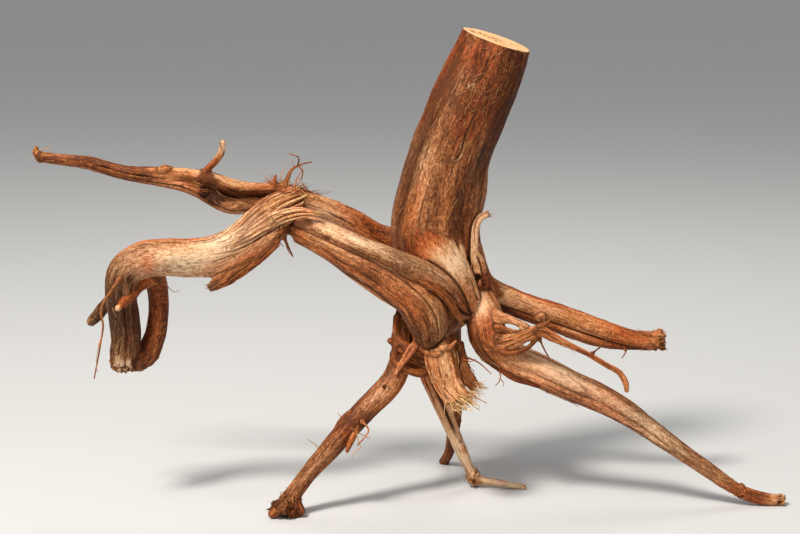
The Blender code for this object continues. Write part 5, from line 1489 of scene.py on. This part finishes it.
def sawn_material(centre):
    """The sawn end: faint rings round the pith, crossed by the saw's strokes."""
    n = Nodes("sawn_wood")
    offset = n.vector("SUBTRACT", n.add("TexCoord", {}, "Object"), centre)
    spot = n.vector("MULTIPLY", offset, (1 / MM, 1 / MM, 1 / MM))
    wave = {"Vector": spot, "Scale": 0.22, "Distortion": 3.0, "Detail": 3.0, "Detail Scale": 0.4}
    rings = n.add("TexWave", wave, "Fac", wave_type="RINGS", rings_direction="SPHERICAL")
    stroke = n.noise({"Vector": n.vector("MULTIPLY", spot, (0.08, 1.4, 0.2))}, 5.0)
    tone = rings * 0.1 + stroke
    # The sawn end takes a little of the painted shade too.
    colour = n.mix(n.mark("dirt") * 0.15, n.ramp(tone - 0.05, SAWN_TONES), DEEP_SHADE)
    return n.finish(colour, stroke * 0.2 + 0.6, tone, FINE_BUMP, 0.3)


def floor_material():
    n = Nodes("pale_floor")
    noise = n.noise({}, 3.0, 3.0)
    return n.finish(n.ramp(noise, FLOOR_TONES), 0.85, noise, FINE_BUMP, 0.1)


def make_floor():
    turn = np.arange(FLOOR_SIDES) * 2 * math.pi / FLOOR_SIDES
    mesh = bpy.data.meshes.new("floor")
    corners = [(FLOOR_RADIUS * math.cos(a), FLOOR_RADIUS * math.sin(a), 0) for a in turn]
    mesh.from_pydata(corners, [], [list(range(FLOOR_SIDES))])
    mesh.materials.append(floor_material())
    floor = bpy.data.objects.new("floor", mesh)
    bpy.context.scene.collection.objects.link(floor)


def place(thing, location, target):
    """Puts a lamp or camera into the scene, with its front towards the target."""
    thing.location = location
    thing.rotation_euler = (Vector(target) - Vector(location)).to_track_quat("-Z", "Y").to_euler()
    bpy.context.scene.collection.objects.link(thing)


def make_lights():
    for name, location, size, watts, colour in LIGHTS:
        light = bpy.data.lights.new(name, "AREA")
        light.shape = "DISK"
        light.size = size
        light.energy = watts
        light.color = colour
        place(bpy.data.objects.new(name, light), location, LIGHTS_AIM_AT)
    sky = bpy.data.lights.new("sky", "SUN")
    sky.energy = SKY_STRENGTH
    sky.angle = math.radians(SKY_SOFTNESS)
    place(bpy.data.objects.new("sky", sky), LIGHTS[0][1], LIGHTS_AIM_AT)
    world = bpy.data.worlds.new("studio")
    world.use_nodes = True
    background = next(node for node in world.node_tree.nodes if node.type == "BACKGROUND")
    background.inputs["Color"].default_value = WORLD_COLOUR
    background.inputs["Strength"].default_value = WORLD_STRENGTH
    bpy.context.scene.world = world


def make_camera():
    lens = bpy.data.cameras.new("camera")
    lens.lens = CAMERA_LENS
    lens.sensor_width = CAMERA_SENSOR
    camera = bpy.data.objects.new("camera", lens)
    tilt = math.radians(CAMERA_ELEVATION)
    back = Vector((0, -math.cos(tilt), math.sin(tilt)))
    place(camera, Vector(CAMERA_TARGET) + back * CAMERA_DISTANCE, CAMERA_TARGET)
    bpy.context.scene.camera = camera


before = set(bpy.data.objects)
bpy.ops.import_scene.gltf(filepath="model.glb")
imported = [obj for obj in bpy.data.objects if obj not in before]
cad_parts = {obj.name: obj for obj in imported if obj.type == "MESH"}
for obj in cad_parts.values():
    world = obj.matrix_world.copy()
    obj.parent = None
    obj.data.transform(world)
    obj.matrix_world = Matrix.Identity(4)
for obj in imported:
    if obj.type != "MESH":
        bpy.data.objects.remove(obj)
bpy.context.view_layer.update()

named = {limb.name: limb for limb in LIMBS}
limbs = LIMBS + short_limbs(SPLINTERS) + fan_strands(named["hook"]) + short_limbs(ROOTLETS, ROOTLET_SLIMNESS)
fields = {limb.name: Field(limb) for limb in limbs if limb.name not in ROOTLETS}
skins = {}
for number, limb in enumerate(limbs):
    skin = Skin(limb, look_of(limb), number + 1)
    skin.settle(fields)
    skin.roughen()
    skins[limb.name] = skin

wood = wood_material()
fibre = fibre_material()
sawn = sawn_material(tuple((np.array(named["stump"].stations[0][:3]) - MIDDLE) * MM))
for name in named:
    join(name, [skins[name].tube()], [wood, sawn])
join("splinters", [skins[name].tube() for name in SPLINTERS], [wood])
join("fan_strands", [skins[f"strand_{k}"].tube() for k in range(STRAND_COUNT)], [wood])
join("rootlets", [skins[name].tube() for name in ROOTLETS], [wood])

random = np.random.default_rng(FIBRE_SEED)
frays, brushes = Rods("frayed_fibres", 3), Rods("torn_fibres", 3)
hairs, straw = Rods("hairs", 5), Rods("straw", 6)
for fray in FRAYS:
    fray_fibres(frays, skins[fray.limb], fray, random)
for brush in BRUSHES:
    brush_fibres(brushes, named[brush.limb], brush, random)
for stations in HAIRS.values():
    course = course_of(stations, HAIR_STEP)[0]
    sway = value_noise(course[:, :3] / 3, FIBRE_SEED)[:, None] * (0.5, 0.5, 0.5)
    hairs.add(course[:, :3] + sway, course[:, 3], random.uniform(*HAIR_TONES))
straw_fibres(straw, named["torn_stub"])
for rods in (frays, brushes, hairs, straw):
    rods.piece(fibre)

make_floor()
make_lights()
make_camera()
bpy.context.scene.view_settings.view_transform = "Standard"
